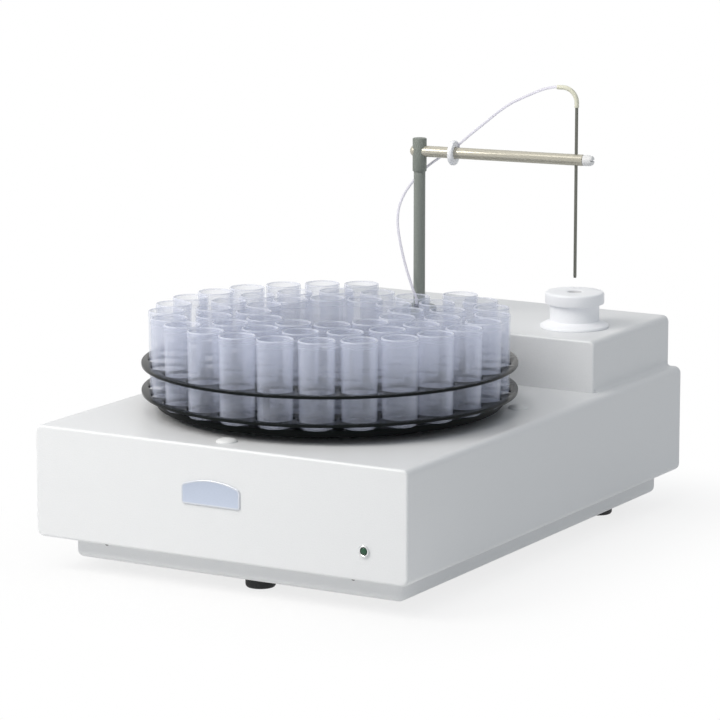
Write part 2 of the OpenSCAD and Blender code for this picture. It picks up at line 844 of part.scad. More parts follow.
module hose_ring() {
  r = ring_d / 2;
  b = arm_d / 2;
  color("#f0f0f4") at_arm() translate([ring_at, 0, arm_z]) rotate([0, 90, 0])
    difference() {
      rotate_extrude() polygon([
        [b, -1.2], [b + 0.8, -1.7], [r - 0.9, -1.8], [r - 0.25, -1.5], [r, -0.9],
        [r, 0.9], [r - 0.25, 1.5], [r - 0.9, 1.8], [b + 0.8, 1.7], [b, 1.2]]);
      translate([-3.8, 5.7, 0]) rod(hose_d + 1.4, -3, 3);
    }
}

module needle() {
  color("#5c6064") at_arm() translate([arm_reach, 0, arm_z]) rotate_extrude() polygon([
    [needle_d / 4, -needle_down], [needle_d / 2 - 0.2, -needle_down],
    [needle_d / 2, 1.5 - needle_down], [needle_d / 2, needle_up], [needle_d / 4, needle_up]]);
}

// Silicone elbow: a sleeve on the needle, a quarter bend and a sleeve for the hose
module needle_elbow() {
  bend = 11;
  color("#d8d6b8") at_arm() translate([arm_reach, 0, arm_z + needle_up]) {
    ring(3.4, needle_d, -3.4, 0);
    translate([-bend, 0, 0]) rotate([90, 0, 0]) rotate_extrude(angle = 90)
      translate([bend, 0]) difference() {
        circle(d = 3.4);
        circle(d = hose_d);
      }
    translate([-bend, 0, bend]) rotate([0, -90, 0]) ring(3.4, hose_d, 0, 4.3);
  }
}

module sample_hose() {
  color("#dcdae4") at_arm() translate([0, 0, arm_z])
    hose(swept(on_arm(hose_route), 3), hose_d, [0, 1, 0]);
}

module lift_carriage() {
  bar_x = screw_at - 22;
  low_z = column_z + 4 + face_gap;
  color("#b4b8bc") at_column() difference() {
    union() {
      box([-bar_x, -9, low_z], [9, 9, low_z + carriage_t]);
      box([-bar_x, -9, low_z], [3 - bar_x, 9, nut_z + carriage_t]);
      box([-screw_at - 11, -9, nut_z], [3 - bar_x, 9, nut_z + carriage_t]);
    }
    rod(column_d + 2 * fit, low_z - 1, low_z + carriage_t + 1);
    translate([-screw_at, 0, 0]) rod(12, nut_z - 1, nut_z + carriage_t + 1);
  }
}

module lift_nut() {
  color("#b59a58") translate([screw_xy[0], screw_xy[1], 0]) difference() {
    union() {
      rod(12, nut_z, nut_z + carriage_t);
      rod(18, nut_z + carriage_t, nut_z + carriage_t + 2);
    }
    rod(screw_d + 2 * fit, nut_z - 1, nut_z + carriage_t + 3);
  }
}

module lift_screw() {
  motor_top = floor_z + lift_motor_h;
  color("#c0c2c4") translate([screw_xy[0], screw_xy[1], 0]) {
    rod(screw_d, motor_top + 2.3, shelf_top);
    rod(shaft_d, motor_top - 20, motor_top + 3);
  }
}

// Electrics

module control_board() {
  z = floor_z + board_up;
  color("#1f5a38") translate([board_xy[0], board_xy[1], 0]) difference() {
    union() {
      box([0, 0, z], [board_w, board_d, z + 1.6]);
      box([8, 20, z + 1], [30, 42, z + 4]);
      box([38, board_d - 40, z + 1], [54, board_d - 24, z + 4]);
      box([4, board_d - 36, z + 1], [10, board_d - 8, z + 9]);
      box([board_w - 12, 12, z + 1], [board_w - 5, 52, z + 10]);
      for (y = [14, 28]) translate([board_w - 28, y, 0]) rod(10, z + 1, z + 15);
    }
    at_board_holes() rod(3.2, z - 1, z + 3);
  }
}

module at_board_holes() {
  for (x = [4, board_w - 4]) for (y = [4, board_d - 4]) translate([x, y, 0]) children();
}

module board_posts() {
  z = floor_z + board_up;
  color("#c0c4c8") translate([board_xy[0], board_xy[1], 0]) at_board_holes() {
    rod(6, floor_z, z);
    rod(3, z - 1, z + 2.6);
    rod(5.4, z + 1.6, z + 3.6);
  }
}

module power_supply() {
  color("#a0a4a8") translate([supply_xy[0], supply_xy[1], floor_z]) difference() {
    box([0, 0, 0], [supply_w, supply_d, supply_h]);
    for (k = [0:7])
      box([8 + k * 7, 10, supply_h - 1], [11 + k * 7, supply_d - 10, supply_h + 1]);
  }
}

// Rear connector bay: a tray behind a window in the cover

module at_panel_screws() {
  for (x = [bay_x0 - 5, bay_x1 + 5]) for (z = [bay_z0 + 4, bay_z1 - 4])
    translate([x, back_y - cover_t / 2, z]) rotate([90, 0, 0]) children();
}

module at_bay(x, z) {
  translate([x, bay_y, bay_mid + z]) rotate([-90, 0, 0]) children();
}

inlet_x = bay_x1 - 28;
data_x = barb_x + 33.1;
switch_x = (inlet_x + data_x) / 2 - 1;
barb_z = [block_z - 86.5, block_z - 70.5];

module rear_panel() {
  t = 1.5;
  color("#3a3c3e") difference() {
    union() {
      box([bay_x0 - t, bay_y - t, bay_z0 - t], [bay_x1 + t, back_y - cover_t, bay_z1 + t]);
      box([bay_x0 - 10, back_y - cover_t - t, bay_z0 - 4],
        [bay_x1 + 10, back_y - cover_t, bay_z1 + 4]);
    }
    box([bay_x0, bay_y, bay_z0], [bay_x1, back_y, bay_z1]);
    at_bay(inlet_x, 0) box([-13.8, -10.2, -5], [13.8, 10.2, 5]);
    at_bay(switch_x, 0) box([-9.6, -6.6, -5], [9.6, 6.6, 5]);
    at_bay(data_x, 0) box([-10, -5.6, -5], [10, 5.6, 5]);
    for (z = barb_z) translate([barb_x, bay_y, z]) rotate([90, 0, 0])
      cylinder(d = 6.2, h = 12, center = true);
    at_panel_screws() cylinder(d = 2.6, h = 12, center = true);
  }
}

module panel_screws() {
  color("#2a2a2a") at_panel_screws() {
    translate([0, 0, -cover_t / 2 - 1.5]) cylinder(d = 5.6, h = 1.5);
    translate([0, 0, -cover_t / 2 - 1]) cylinder(d = 2.5, h = 7);
  }
}

module mains_inlet() {
  color("#1a1a1a") at_bay(inlet_x, 0) {
    difference() {
      union() {
        box([-15.8, -12.2, 0], [15.8, 12.2, 2.5]);
        box([-13.5, -9.9, -18], [13.5, 9.9, 1]);
      }
      box([-12, -8, -14], [12, 8, 4]);
    }
    for (p = [[-7, 1.6], [0, -2.4], [7, 1.6]])
      translate([p[0], p[1], 0]) box([-1, -2, -15], [1, 2, 0]);
  }
}

module data_socket() {
  color("#c4c6c8") at_bay(data_x, 0) {
    difference() {
      union() {
        box([-15.4, -6.2, 0], [15.4, 6.2, 1.2]);
        box([-8.6, -4.2, -9], [8.6, 4.2, 7]);
      }
      box([-7.8, -3.4, 1.5], [7.8, 3.4, 8]);
    }
    for (s = [-1, 1]) translate([12.4 * s, 0, 0]) cylinder(d = 5, h = 6);
  }
}

module switch_bezel() {
  color("#141414") at_bay(switch_x, 0) difference() {
    union() {
      box([-11, -8, 0], [11, 8, 2]);
      box([-9.3, -6.3, -16], [9.3, 6.3, 1]);
    }
    box([-8, -5, -8], [8, 5, 3]);
    rotate([90, 0, 0]) cylinder(d = 2 + 2 * fit, h = 12, center = true);
  }
}

// Rocker that tips about an upright pin across the switch
module switch_rocker() {
  color("#c8342c") at_bay(switch_x, 0) rotate([90, 0, 0]) rotate(-9) {
    linear_extrude(8.8, center = true)
      polygon([[-6.6, 2.4], [-6, 3.4], [0, 1.8], [6, 3.4], [6.6, 2.4], [5.4, -1.4],
        [0, -2.6], [-5.4, -1.4]]);
    cylinder(d = 2, h = 11.6, center = true);
  }
}

module hose_barbs() {
  color("#d8d8d8") for (z = barb_z) translate([barb_x, bay_y, z]) rotate([-90, 0, 0])
    difference() {
      union() {
        rod(10, 0, 3);
        rod(6, -9, 1);
        rod(4, -13, -8);
        rod(5, 2, 16);
      }
      rod(2, -14, 17);
    }
}

// Wash station

module wash_base() {
  n = wash_neck_d / 2;
  color("#eceef2") at_needle() translate([0, 0, block_z]) difference() {
    rotate_extrude() polygon([
      [0, -44], [1.6, -44], [1.6, -32], [12, -31], [12, 0], [wash_flange_d / 2, 0],
      [wash_flange_d / 2, 1.8], [n, 5.2], [n, wash_neck_h], [n - 4, wash_neck_h],
      [n - 4, 8], [0, 8]]);
    rod(well_d, -28, 9);
    rod(1.6, -45, -27);
    translate([-14, 0, -14]) rotate([0, 90, 0]) cylinder(d = 1.6, h = 14);
  }
}

module wash_cap() {
  n = wash_neck_d / 2;
  c = wash_cap_d / 2;
  color("#f2f3f6") at_needle() translate([0, 0, block_z + wash_neck_h]) rotate_extrude()
    polygon([
      [well_d / 2, -9], [n - 4.3, -9], [n - 4.3, 0], [c - 0.6, 0], [c, 0.6],
      [c, wash_cap_t - 1.6], [c - 0.5, wash_cap_t - 0.5], [c - 1.6, wash_cap_t],
      [5.9, wash_cap_t],
      [well_d / 2, wash_cap_t - 2.7]]);
}

module wash_hoses() {
  color("#e4e4ea") at_needle() translate([0, 0, block_z]) {
    hose(swept(to_bay(waste_route), 3), 3.2, [1, 1, 0.2]);
    hose(swept(to_bay(feed_route), 3), 3.2, [1, 1, 0.2]);
  }
}

cover();
base_pan();
feet();
pan_screws();
name_plate();
led_bezel();
led_lens();
cover_plugs();
cover_screws();
deck_plate();
deck_posts();
spindle_housing();
spindle_bushes();
stepper_motors();
drive_belts();
lift_frame();
turret_bush();
control_board();
board_posts();
power_supply();
rear_panel();
panel_screws();
mains_inlet();
data_socket();
switch_bezel();
hose_barbs();
wash_base();
wash_hoses();
spindle();
spindle_pulley();
rack_plate();
lower_disc();
upper_disc();
rack_spacers();
rack_nut();
outer_tubes();
middle_tubes();
inner_tubes();
drive_pulley();
turret_tube();
turret_pulley();
turret_collar();
swing_pulley();
column();
column_collars();
arm_head();
arm_rod();
hose_ring();
needle();
needle_elbow();
sample_hose();
clamp_screw();
lift_carriage();
lift_nut();
lift_screw();
wash_cap();
switch_rocker();
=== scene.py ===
import math

import bmesh
import bpy
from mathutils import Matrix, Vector


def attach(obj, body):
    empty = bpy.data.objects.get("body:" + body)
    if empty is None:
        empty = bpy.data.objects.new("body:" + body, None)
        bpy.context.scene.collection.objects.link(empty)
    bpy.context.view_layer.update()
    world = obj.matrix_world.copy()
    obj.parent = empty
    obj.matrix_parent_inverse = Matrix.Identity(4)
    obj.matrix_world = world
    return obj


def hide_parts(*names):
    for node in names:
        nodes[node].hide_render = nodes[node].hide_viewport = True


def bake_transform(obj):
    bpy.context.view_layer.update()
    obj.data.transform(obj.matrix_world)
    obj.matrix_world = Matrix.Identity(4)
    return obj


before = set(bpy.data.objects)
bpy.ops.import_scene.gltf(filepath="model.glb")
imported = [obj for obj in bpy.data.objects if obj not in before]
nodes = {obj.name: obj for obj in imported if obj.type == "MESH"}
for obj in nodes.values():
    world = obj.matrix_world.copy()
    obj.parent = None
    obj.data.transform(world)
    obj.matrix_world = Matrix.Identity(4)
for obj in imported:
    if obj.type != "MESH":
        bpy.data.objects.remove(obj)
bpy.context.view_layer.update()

# Camera, floor and lamps.
# The camera stands where the photograph was taken, with a long lens.
# The floor is plain and pale, and large soft lamps stand at the front left, front and top.
scene = bpy.context.scene
scene.view_settings.view_transform = "Standard"
scene.cycles.transparent_max_bounces = 48
scene.cycles.transmission_bounces = 32
scene.cycles.max_bounces = 32

camera_data = bpy.data.cameras.new("photo_camera")
camera_data.sensor_width = 36.0
camera_data.lens = 189.1
camera_data.clip_end = 30.0
camera = bpy.data.objects.new("photo_camera", camera_data)
camera.location = (1.34790, -2.34265, 0.64728)
camera.rotation_euler = (math.radians(79.1725), 0.0, math.radians(30.079))
scene.collection.objects.link(camera)
scene.camera = camera


def seen_straight(tree):
    """Adds a switch that is on for the rays that should see a plain white ground."""
    rays = tree.nodes.new("ShaderNodeLightPath")
    first = tree.nodes.new("ShaderNodeMath")
    first.operation = "MAXIMUM"
    both = tree.nodes.new("ShaderNodeMath")
    both.operation = "MAXIMUM"
    tree.links.new(rays.outputs["Is Camera Ray"], first.inputs[0])
    tree.links.new(rays.outputs["Is Glossy Ray"], first.inputs[1])
    tree.links.new(first.outputs[0], both.inputs[0])
    tree.links.new(rays.outputs["Is Transmission Ray"], both.inputs[1])
    return both


bpy.ops.object.select_all(action="DESELECT")
bpy.ops.mesh.primitive_plane_add(size=16.0)
floor = bpy.context.object
floor.name = "floor"
floor_paper = bpy.data.materials.new("floor_paper")
floor_paper.use_nodes = True
tree = floor_paper.node_tree
tree.nodes.remove(tree.nodes["Principled BSDF"])
paper = tree.nodes.new("ShaderNodeBsdfDiffuse")
paper.inputs["Color"].default_value = (0.86, 0.86, 0.86, 1.0)
white = tree.nodes.new("ShaderNodeEmission")
white.inputs["Strength"].default_value = 1.0
place = tree.nodes.new("ShaderNodeTexCoord")
away = place.outputs["Object"]
for operation, step in (("ABSOLUTE", None), ("SUBTRACT", (0.12, 0.18, 0.0)), ("MAXIMUM", None)):
    change = tree.nodes.new("ShaderNodeVectorMath")
    change.operation = operation
    tree.links.new(away, change.inputs[0])
    if step:
        change.inputs[1].default_value = step
    away = change.outputs["Vector"]
reach = tree.nodes.new("ShaderNodeVectorMath")
reach.operation = "LENGTH"
tree.links.new(away, reach.inputs[0])
fade = tree.nodes.new("ShaderNodeMapRange")
fade.interpolation_type = "SMOOTHSTEP"
fade.inputs["From Min"].default_value = 0.0
fade.inputs["From Max"].default_value = 0.16
fade.inputs["To Min"].default_value = 0.79
fade.inputs["To Max"].default_value = 1.0
tree.links.new(reach.outputs["Value"], fade.inputs["Value"])
share = tree.nodes.new("ShaderNodeMath")
share.operation = "MULTIPLY"
tree.links.new(seen_straight(tree).outputs[0], share.inputs[0])
tree.links.new(fade.outputs["Result"], share.inputs[1])
blend = tree.nodes.new("ShaderNodeMixShader")
tree.links.new(share.outputs[0], blend.inputs[0])
tree.links.new(paper.outputs[0], blend.inputs[1])
tree.links.new(white.outputs[0], blend.inputs[2])
tree.links.new(blend.outputs[0], tree.nodes["Material Output"].inputs["Surface"])
floor.data.materials.append(floor_paper)

world = bpy.data.worlds.new("studio")
scene.world = world
world.use_nodes = True
tree = world.node_tree
around = tree.nodes["Background"]
around.inputs["Color"].default_value = (0.875, 0.935, 1.0, 1.0)
around.inputs["Strength"].default_value = 0.42
straight = tree.nodes.new("ShaderNodeBackground")
straight.inputs["Strength"].default_value = 1.0
blend = tree.nodes.new("ShaderNodeMixShader")
tree.links.new(seen_straight(tree).outputs[0], blend.inputs[0])
tree.links.new(around.outputs[0], blend.inputs[1])
tree.links.new(straight.outputs[0], blend.inputs[2])
tree.links.new(blend.outputs[0], tree.nodes["World Output"].inputs["Surface"])


def soft_lamp(name, place, aim, size, power):
    """Square area lamp that stands at a place and points at another."""
    lamp = bpy.data.lights.new(name, "AREA")
    lamp.color = (1.0, 0.965, 0.92)
    lamp.size = size
    lamp.energy = power
    stand = bpy.data.objects.new(name, lamp)
    stand.location = place
    way = Vector(aim) - Vector(place)
    stand.rotation_euler = way.to_track_quat("-Z", "Y").to_euler()
    scene.collection.objects.link(stand)


soft_lamp("front_left_lamp", (-0.73, -1.07, 1.17), (-0.05, -0.1, 0.1), 0.8, 16.4)
soft_lamp("front_lamp", (0.25, -1.05, 2.05), (0.0, 0.0, 0.1), 1.0, 8.5)
soft_lamp("top_lamp", (-0.2, 0.2, 2.6), (0.0, 0.0, 0.1), 2.0, 5.0)


# Base pan: a shallow tray of folded sheet steel under the cover, painted with it.
# The cover's lip lies on its edge, and its corners and lower edge are rounded.
def surface(name, colour, rough, metal=0.0, grain=500.0, stretch=(1.0, 1.0, 1.0),
            tint=0.05, sheen=0.06, relief=0.03, detail=3.0, shine=0.5):
    """Finish whose grain shifts colour and gloss a little and stands slightly proud."""
    material = bpy.data.materials.new(name)
    material.use_nodes = True
    tree = material.node_tree
    body = tree.nodes["Principled BSDF"]
    body.inputs["Metallic"].default_value = metal
    body.inputs["Specular IOR Level"].default_value = shine
    place = tree.nodes.new("ShaderNodeTexCoord")
    scale = tree.nodes.new("ShaderNodeMapping")
    scale.inputs["Scale"].default_value = stretch
    noise = tree.nodes.new("ShaderNodeTexNoise")
    noise.inputs["Scale"].default_value = grain
    noise.inputs["Detail"].default_value = detail
    tree.links.new(place.outputs["Object"], scale.inputs["Vector"])
    tree.links.new(scale.outputs["Vector"], noise.inputs["Vector"])
    tone = tree.nodes.new("ShaderNodeValToRGB")
    tone.color_ramp.elements[0].position = 0.3
    tone.color_ramp.elements[1].position = 0.7
    tone.color_ramp.elements[0].color = [c * (1.0 - tint) for c in colour] + [1.0]
    tone.color_ramp.elements[1].color = [min(1.0, c * (1.0 + tint)) for c in colour] + [1.0]
    tree.links.new(noise.outputs["Fac"], tone.inputs["Fac"])
    tree.links.new(tone.outputs["Color"], body.inputs["Base Color"])
    gloss = tree.nodes.new("ShaderNodeMapRange")
    gloss.inputs["To Min"].default_value = max(0.02, rough - sheen)
    gloss.inputs["To Max"].default_value = min(1.0, rough + sheen)
    tree.links.new(noise.outputs["Fac"], gloss.inputs["Value"])
    tree.links.new(gloss.outputs["Result"], body.inputs["Roughness"])
    proud = tree.nodes.new("ShaderNodeBump")
    proud.inputs["Strength"].default_value = relief
    proud.inputs["Distance"].default_value = 0.0005
    tree.links.new(noise.outputs["Fac"], proud.inputs["Height"])
    tree.links.new(proud.outputs["Normal"], body.inputs["Normal"])
    return material


def dress(node, material):
    """Gives a CAD node's faces one finish."""
    mesh = nodes[node].data
    mesh.materials.clear()
    mesh.materials.append(material)


def block(name, low, high):
    """Box between two corners, ready to be shaped."""
    bpy.ops.object.select_all(action="DESELECT")
    middle = [(a + b) / 2 for a, b in zip(low, high)]
    bpy.ops.mesh.primitive_cube_add(size=1.0, location=middle)
    piece = bpy.context.object
    piece.name = name
    piece.scale = [b - a for a, b in zip(low, high)]
    bpy.ops.object.transform_apply(location=True, rotation=True, scale=True)
    return piece


def unselected(piece, unit):
    """Mesh of a piece in edit mode with nothing selected, ready to select by one unit."""
    mesh = bmesh.from_edit_mesh(piece.data)
    mesh.select_mode = {unit}
    for part in list(mesh.verts) + list(mesh.edges) + list(mesh.faces):
        part.select = False
    return mesh


def choose_edges(piece, test):
    """Selects the edges whose two ends pass a test, in edit mode."""
    mesh = unselected(piece, "EDGE")
    for edge in mesh.edges:
        edge.select = test(edge.verts[0].co, edge.verts[1].co)
    mesh.select_flush_mode()
    bmesh.update_edit_mesh(piece.data)


def choose_faces(piece, test):
    """Selects the faces whose centre and normal pass a test, in edit mode."""
    mesh = unselected(piece, "FACE")
    for face in mesh.faces:
        face.select = test(face.calc_center_median(), face.normal)
    mesh.select_flush_mode()
    bmesh.update_edit_mesh(piece.data)


def edit(piece):
    """Makes one piece the only selected one and opens it in edit mode."""
    bpy.ops.object.select_all(action="DESELECT")
    bpy.context.view_layer.objects.active = piece
    piece.select_set(True)
    bpy.ops.object.mode_set(mode="EDIT")


def close(piece, angle=35.0):
    """Leaves edit mode and shades the piece smooth up to an angle."""
    if piece.mode == "EDIT":
        bpy.ops.object.mode_set(mode="OBJECT")
    bpy.ops.object.select_all(action="DESELECT")
    bpy.context.view_layer.objects.active = piece
    piece.select_set(True)
    bpy.ops.object.shade_smooth_by_angle(angle=math.radians(angle))


def round_edges(piece, width, segments=3, angle=40.0):
    """Rounds every sharp edge with a modifier, and applies it."""
    bpy.context.view_layer.objects.active = piece
    bevel = piece.modifiers.new("rounded", "BEVEL")
    bevel.width = width
    bevel.segments = segments
    bevel.limit_method = "ANGLE"
    bevel.angle_limit = math.radians(angle)
    bpy.ops.object.modifier_apply(modifier=bevel.name)


def even_normals(piece):
    """Keeps large flat faces flat beside rounded edges."""
    bpy.context.view_layer.objects.active = piece
    weigh = piece.modifiers.new("even", "WEIGHTED_NORMAL")
    weigh.keep_sharp = True
    bpy.ops.object.modifier_apply(modifier=weigh.name)


def fit_out(piece, material, body, slot, *replaced):
    """Gives a new piece its finish, its body and the CAD nodes it stands for."""
    piece.data.materials.clear()
    piece.data.materials.append(material)
    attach(piece, body)
    if replaced:
        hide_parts(*replaced)


white_paint = surface("white_paint", (0.78, 0.79, 0.80), 0.38, grain=1000.0, tint=0.012,
                      sheen=0.05, relief=0.25, detail=2.0)

pan_left = -0.127
pan_right = 0.138
pan_front = -0.197
pan_back = 0.195
pan_bend = 0.005
pan_sheet = 0.0015
pan = block("pan", (pan_left, pan_front, 0.0095), (pan_right, pan_back, 0.0248))
edit(pan)
choose_faces(pan, lambda c, n: n.z > 0.9)
bpy.ops.mesh.delete(type="FACE")
choose_edges(pan, lambda a, b: max(a.z, b.z) < 0.01 or abs(a.z - b.z) > 0.01)
bpy.ops.mesh.bevel(offset=pan_bend, segments=6, affect="EDGES")
close(pan)
thick = pan.modifiers.new("sheet", "SOLIDIFY")
thick.thickness = pan_sheet
thick.offset = -1.0
bpy.ops.object.modifier_apply(modifier=thick.name)
close(pan)
fit_out(pan, white_paint, "base", "paint_white", "base_pan")


# Feet: three soft black rubber buffers, turned smooth, each with a hollow middle.
# The hollow leaves room for the screw that holds a foot to the pan.
def turned(name, profile, steps=64, turn=(0.0, 0.0, 0.0), place=(0.0, 0.0, 0.0)):
    """Spins an outline of radius and height pairs about Z, then sets the piece in place."""
    bpy.ops.object.select_all(action="DESELECT")
    bpy.ops.mesh.primitive_plane_add(size=0.01)
    piece = bpy.context.object
    piece.name = name
    bpy.ops.object.mode_set(mode="EDIT")
    bpy.ops.mesh.select_all(action="SELECT")
    bpy.ops.mesh.merge(type="CENTER")
    bpy.ops.mesh.select_all(action="SELECT")
    bpy.ops.transform.translate(value=(profile[0][0], 0.0, profile[0][1]))
    for (r0, z0), (r1, z1) in zip(profile, profile[1:]):
        step = (r1 - r0, 0.0, z1 - z0)
        bpy.ops.mesh.extrude_region_move(TRANSFORM_OT_translate={"value": step})
    bpy.ops.mesh.select_all(action="SELECT")
    bpy.ops.mesh.spin(steps=steps, angle=2.0 * math.pi, center=(0.0, 0.0, 0.0),
                      axis=(0.0, 0.0, 1.0))
    bpy.ops.mesh.select_all(action="SELECT")
    bpy.ops.mesh.remove_doubles(threshold=0.000002)
    bpy.ops.mesh.normals_make_consistent(inside=False)
    bpy.ops.object.mode_set(mode="OBJECT")
    piece.rotation_euler = turn
    piece.location = place
    bpy.ops.object.transform_apply(location=True, rotation=True, scale=True)
    close(piece)
    return piece


def join(pieces, name):
    """Joins pieces in one mesh under a new name."""
    bpy.ops.object.select_all(action="DESELECT")
    for piece in pieces:
        piece.select_set(True)
    bpy.context.view_layer.objects.active = pieces[0]
    bpy.ops.object.join()
    pieces[0].name = name
    return pieces[0]


def copies(piece, places, name, turns=None):
    """Copies a piece to each place, each with its own mesh, and joins the copies in one."""
    made = []
    for number, shift in enumerate(places):
        bpy.ops.object.select_all(action="DESELECT")
        piece.select_set(True)
        bpy.context.view_layer.objects.active = piece
        bpy.ops.object.duplicate(linked=False)
        twin = bpy.context.object
        twin.location = shift
        if turns:
            twin.rotation_euler = turns[number]
        bpy.ops.object.transform_apply(location=True, rotation=True, scale=True)
        made.append(twin)
    bpy.data.objects.remove(piece)
    return join(made, name)


foot = turned("foot", [
    (0.0, 0.0045), (0.0042, 0.0045), (0.0044, 0.0010), (0.0050, 0.0002), (0.0062, 0.0),
    (0.0086, 0.0), (0.0098, 0.0003), (0.0105, 0.0012), (0.0107, 0.0024), (0.0107, 0.0083),
    (0.0104, 0.0092), (0.0097, 0.0095), (0.0, 0.0095)], steps=48)
feet = copies(foot, [(0.0108, -0.1715, 0.0), (0.1133, 0.1456, 0.0), (-0.1023, 0.1456, 0.0)],
              "rubber_feet")
foot_rubber = surface("foot_rubber", (0.018, 0.018, 0.019), 0.62, grain=900.0, tint=0.25,
                      relief=0.15)
fit_out(feet, foot_rubber, "base", "foot_rubber", "feet")


# Deck, control board and power supply: what stands in the pan under the hood.
# The deck is zinc-plated sheet on turned posts; the board and supply hang on pillars.
plain_steel = surface("plain_steel", (0.56, 0.57, 0.58), 0.34, metal=1.0, grain=260.0,
                      stretch=(1.0, 14.0, 1.0), tint=0.08)
dress("deck_plate", plain_steel)
dress("deck_posts", plain_steel)
dress("board_posts", plain_steel)
dress("cover_screws", plain_steel)
dress("control_board", surface("board_green", (0.018, 0.13, 0.055), 0.36, grain=240.0, tint=0.18))
dress("power_supply", surface("supply_case", (0.60, 0.61, 0.62), 0.42, metal=1.0, grain=700.0))


# Rack drive: a spindle in bronze bushes, turned by a belt from a stepper motor.
# The housing and pulleys are machined aluminium, and the belts are toothed rubber.
machined = surface("machined_aluminium", (0.72, 0.73, 0.74), 0.28, metal=1.0, grain=300.0,
                   stretch=(1.0, 1.0, 16.0), tint=0.06)
bronze = surface("bush_bronze", (0.58, 0.40, 0.20), 0.34, metal=1.0, grain=800.0, tint=0.12)
motor_black = surface("motor_black", (0.028, 0.028, 0.030), 0.46, grain=1200.0, tint=0.2)
belt_rubber = surface("belt_rubber", (0.020, 0.020, 0.021), 0.66, grain=900.0, tint=0.25,
                      stretch=(1.0, 1.0, 6.0), relief=0.12)
dress("spindle", plain_steel)
dress("spindle_housing", machined)
dress("spindle_bushes", bronze)
dress("spindle_pulley", machined)
dress("drive_pulley", machined)
dress("stepper_motors", motor_black)
dress("drive_belts", belt_rubber)


# Lift and swing: a carriage on a lead screw raises the column inside a turning tube.
# The frame is folded steel, the screw is rolled steel and its nut is bronze.
dress("lift_frame", plain_steel)
dress("lift_screw", plain_steel)
dress("lift_nut", bronze)
dress("lift_carriage", machined)
dress("column_collars", machined)
dress("turret_bush", bronze)
dress("turret_pulley", machined)
dress("swing_pulley", machined)


# Wash hoses: two clear hoses inside the housing, from the wash station to the rear barbs.
# One brings fresh rinse in under the block's top and the other drains the well.
def clear(name, colour, rough, cover, rim):
    """Thin clear plastic that covers more where its wall is seen edge on.

    Some of the light that falls on it passes through, so its shadow is pale.
    """
    material = surface(name, colour, rough, grain=300.0, tint=0.02, sheen=0.03, relief=0.0)
    tree = material.node_tree
    edge_on = tree.nodes.new("ShaderNodeLayerWeight")
    edge_on.inputs["Blend"].default_value = 0.22
    amount = tree.nodes.new("ShaderNodeMapRange")
    amount.inputs["To Min"].default_value = cover
    amount.inputs["To Max"].default_value = rim
    tree.links.new(edge_on.outputs["Facing"], amount.inputs["Value"])
    rays = tree.nodes.new("ShaderNodeLightPath")
    pale = tree.nodes.new("ShaderNodeMapRange")
    pale.inputs["To Min"].default_value = 1.0
    pale.inputs["To Max"].default_value = 0.8
    tree.links.new(rays.outputs["Is Shadow Ray"], pale.inputs["Value"])
    share = tree.nodes.new("ShaderNodeMath")
    share.operation = "MULTIPLY"
    tree.links.new(amount.outputs["Result"], share.inputs[0])
    tree.links.new(pale.outputs["Result"], share.inputs[1])
    tree.links.new(share.outputs[0], tree.nodes["Principled BSDF"].inputs["Alpha"])
    return material


def smoothed(points, steps=4):
    """Points of a smooth curve through a route's points."""
    curve = []
    for k in range(len(points) - 1):
        before = Vector(points[max(k - 1, 0)])
        start = Vector(points[k])
        end = Vector(points[k + 1])
        after = Vector(points[min(k + 2, len(points) - 1)])
        for j in range(steps):
            t = j / steps
            bow = (2 * before - 5 * start + 4 * end - after) * t * t
            turn = (3 * start - before - 3 * end + after) * t * t * t
            curve.append(start + 0.5 * ((end - before) * t + bow + turn))
    curve.append(Vector(points[-1]))
    return curve


def hose_along(name, points, diameter, sides=4):
    """Round solid hose along a list of points, as a mesh."""
    line = bpy.data.curves.new(name, "CURVE")
    line.dimensions = "3D"
    line.bevel_depth = diameter / 2
    line.bevel_resolution = sides
    line.use_fill_caps = True
    run = line.splines.new("POLY")
    run.points.add(len(points) - 1)
    for knot, point in zip(run.points, points):
        knot.co = (point[0], point[1], point[2], 1.0)
    piece = bpy.data.objects.new(name, line)
    scene.collection.objects.link(piece)
    bpy.ops.object.select_all(action="DESELECT")
    bpy.context.view_layer.objects.active = piece
    piece.select_set(True)
    bpy.ops.object.convert(target="MESH")
    piece = bpy.context.object
    edit(piece)
    bpy.ops.mesh.select_all(action="SELECT")
    bpy.ops.mesh.remove_doubles(threshold=0.000002)
    bpy.ops.mesh.normals_make_consistent(inside=False)
    close(piece, 50.0)
    return piece


needle_x = 0.099172
needle_y = 0.131367
block_top = 0.1435
waste_route = [
    (0.0, 0.0, -0.044), (0.0, 0.0, -0.050), (-0.002, 0.002, -0.060), (-0.008, 0.008, -0.071),
    (-0.020, 0.017, -0.081), (-0.036, 0.024, -0.088), (-0.056, 0.025, -0.090),
    (-0.076, 0.025, -0.089), (-0.092, 0.026, -0.0876), (-0.102, 0.030, -0.0868),
    (-0.1056, 0.036, -0.0865), (-0.106, 0.0418, -0.0865)]
feed_route = [
    (-0.012, 0.0, -0.014), (-0.016, 0.0006, -0.015), (-0.023, 0.006, -0.019),
    (-0.030, 0.016, -0.028), (-0.038, 0.024, -0.040), (-0.050, 0.026, -0.054),
    (-0.066, 0.026, -0.065), (-0.084, 0.026, -0.070), (-0.098, 0.028, -0.071),
    (-0.105, 0.035, -0.0705), (-0.106, 0.0418, -0.0705)]
well_top = Vector((needle_x, needle_y, block_top))
to_barbs = Vector((-0.00027, 0.002165, 0.0))
inner_hoses = []
for route in (waste_route, feed_route):
    run = [well_top + Vector(point) + to_barbs * k / (len(route) - 1)
           for k, point in enumerate(route)]
    inner_hoses.append(hose_along("inner_hose", smoothed(run, 3), 0.0032))
wash_lines = join(inner_hoses, "wash_lines")
hose_clear = clear("hose_clear", (0.84, 0.82, 0.92), 0.30, 0.58, 0.72)
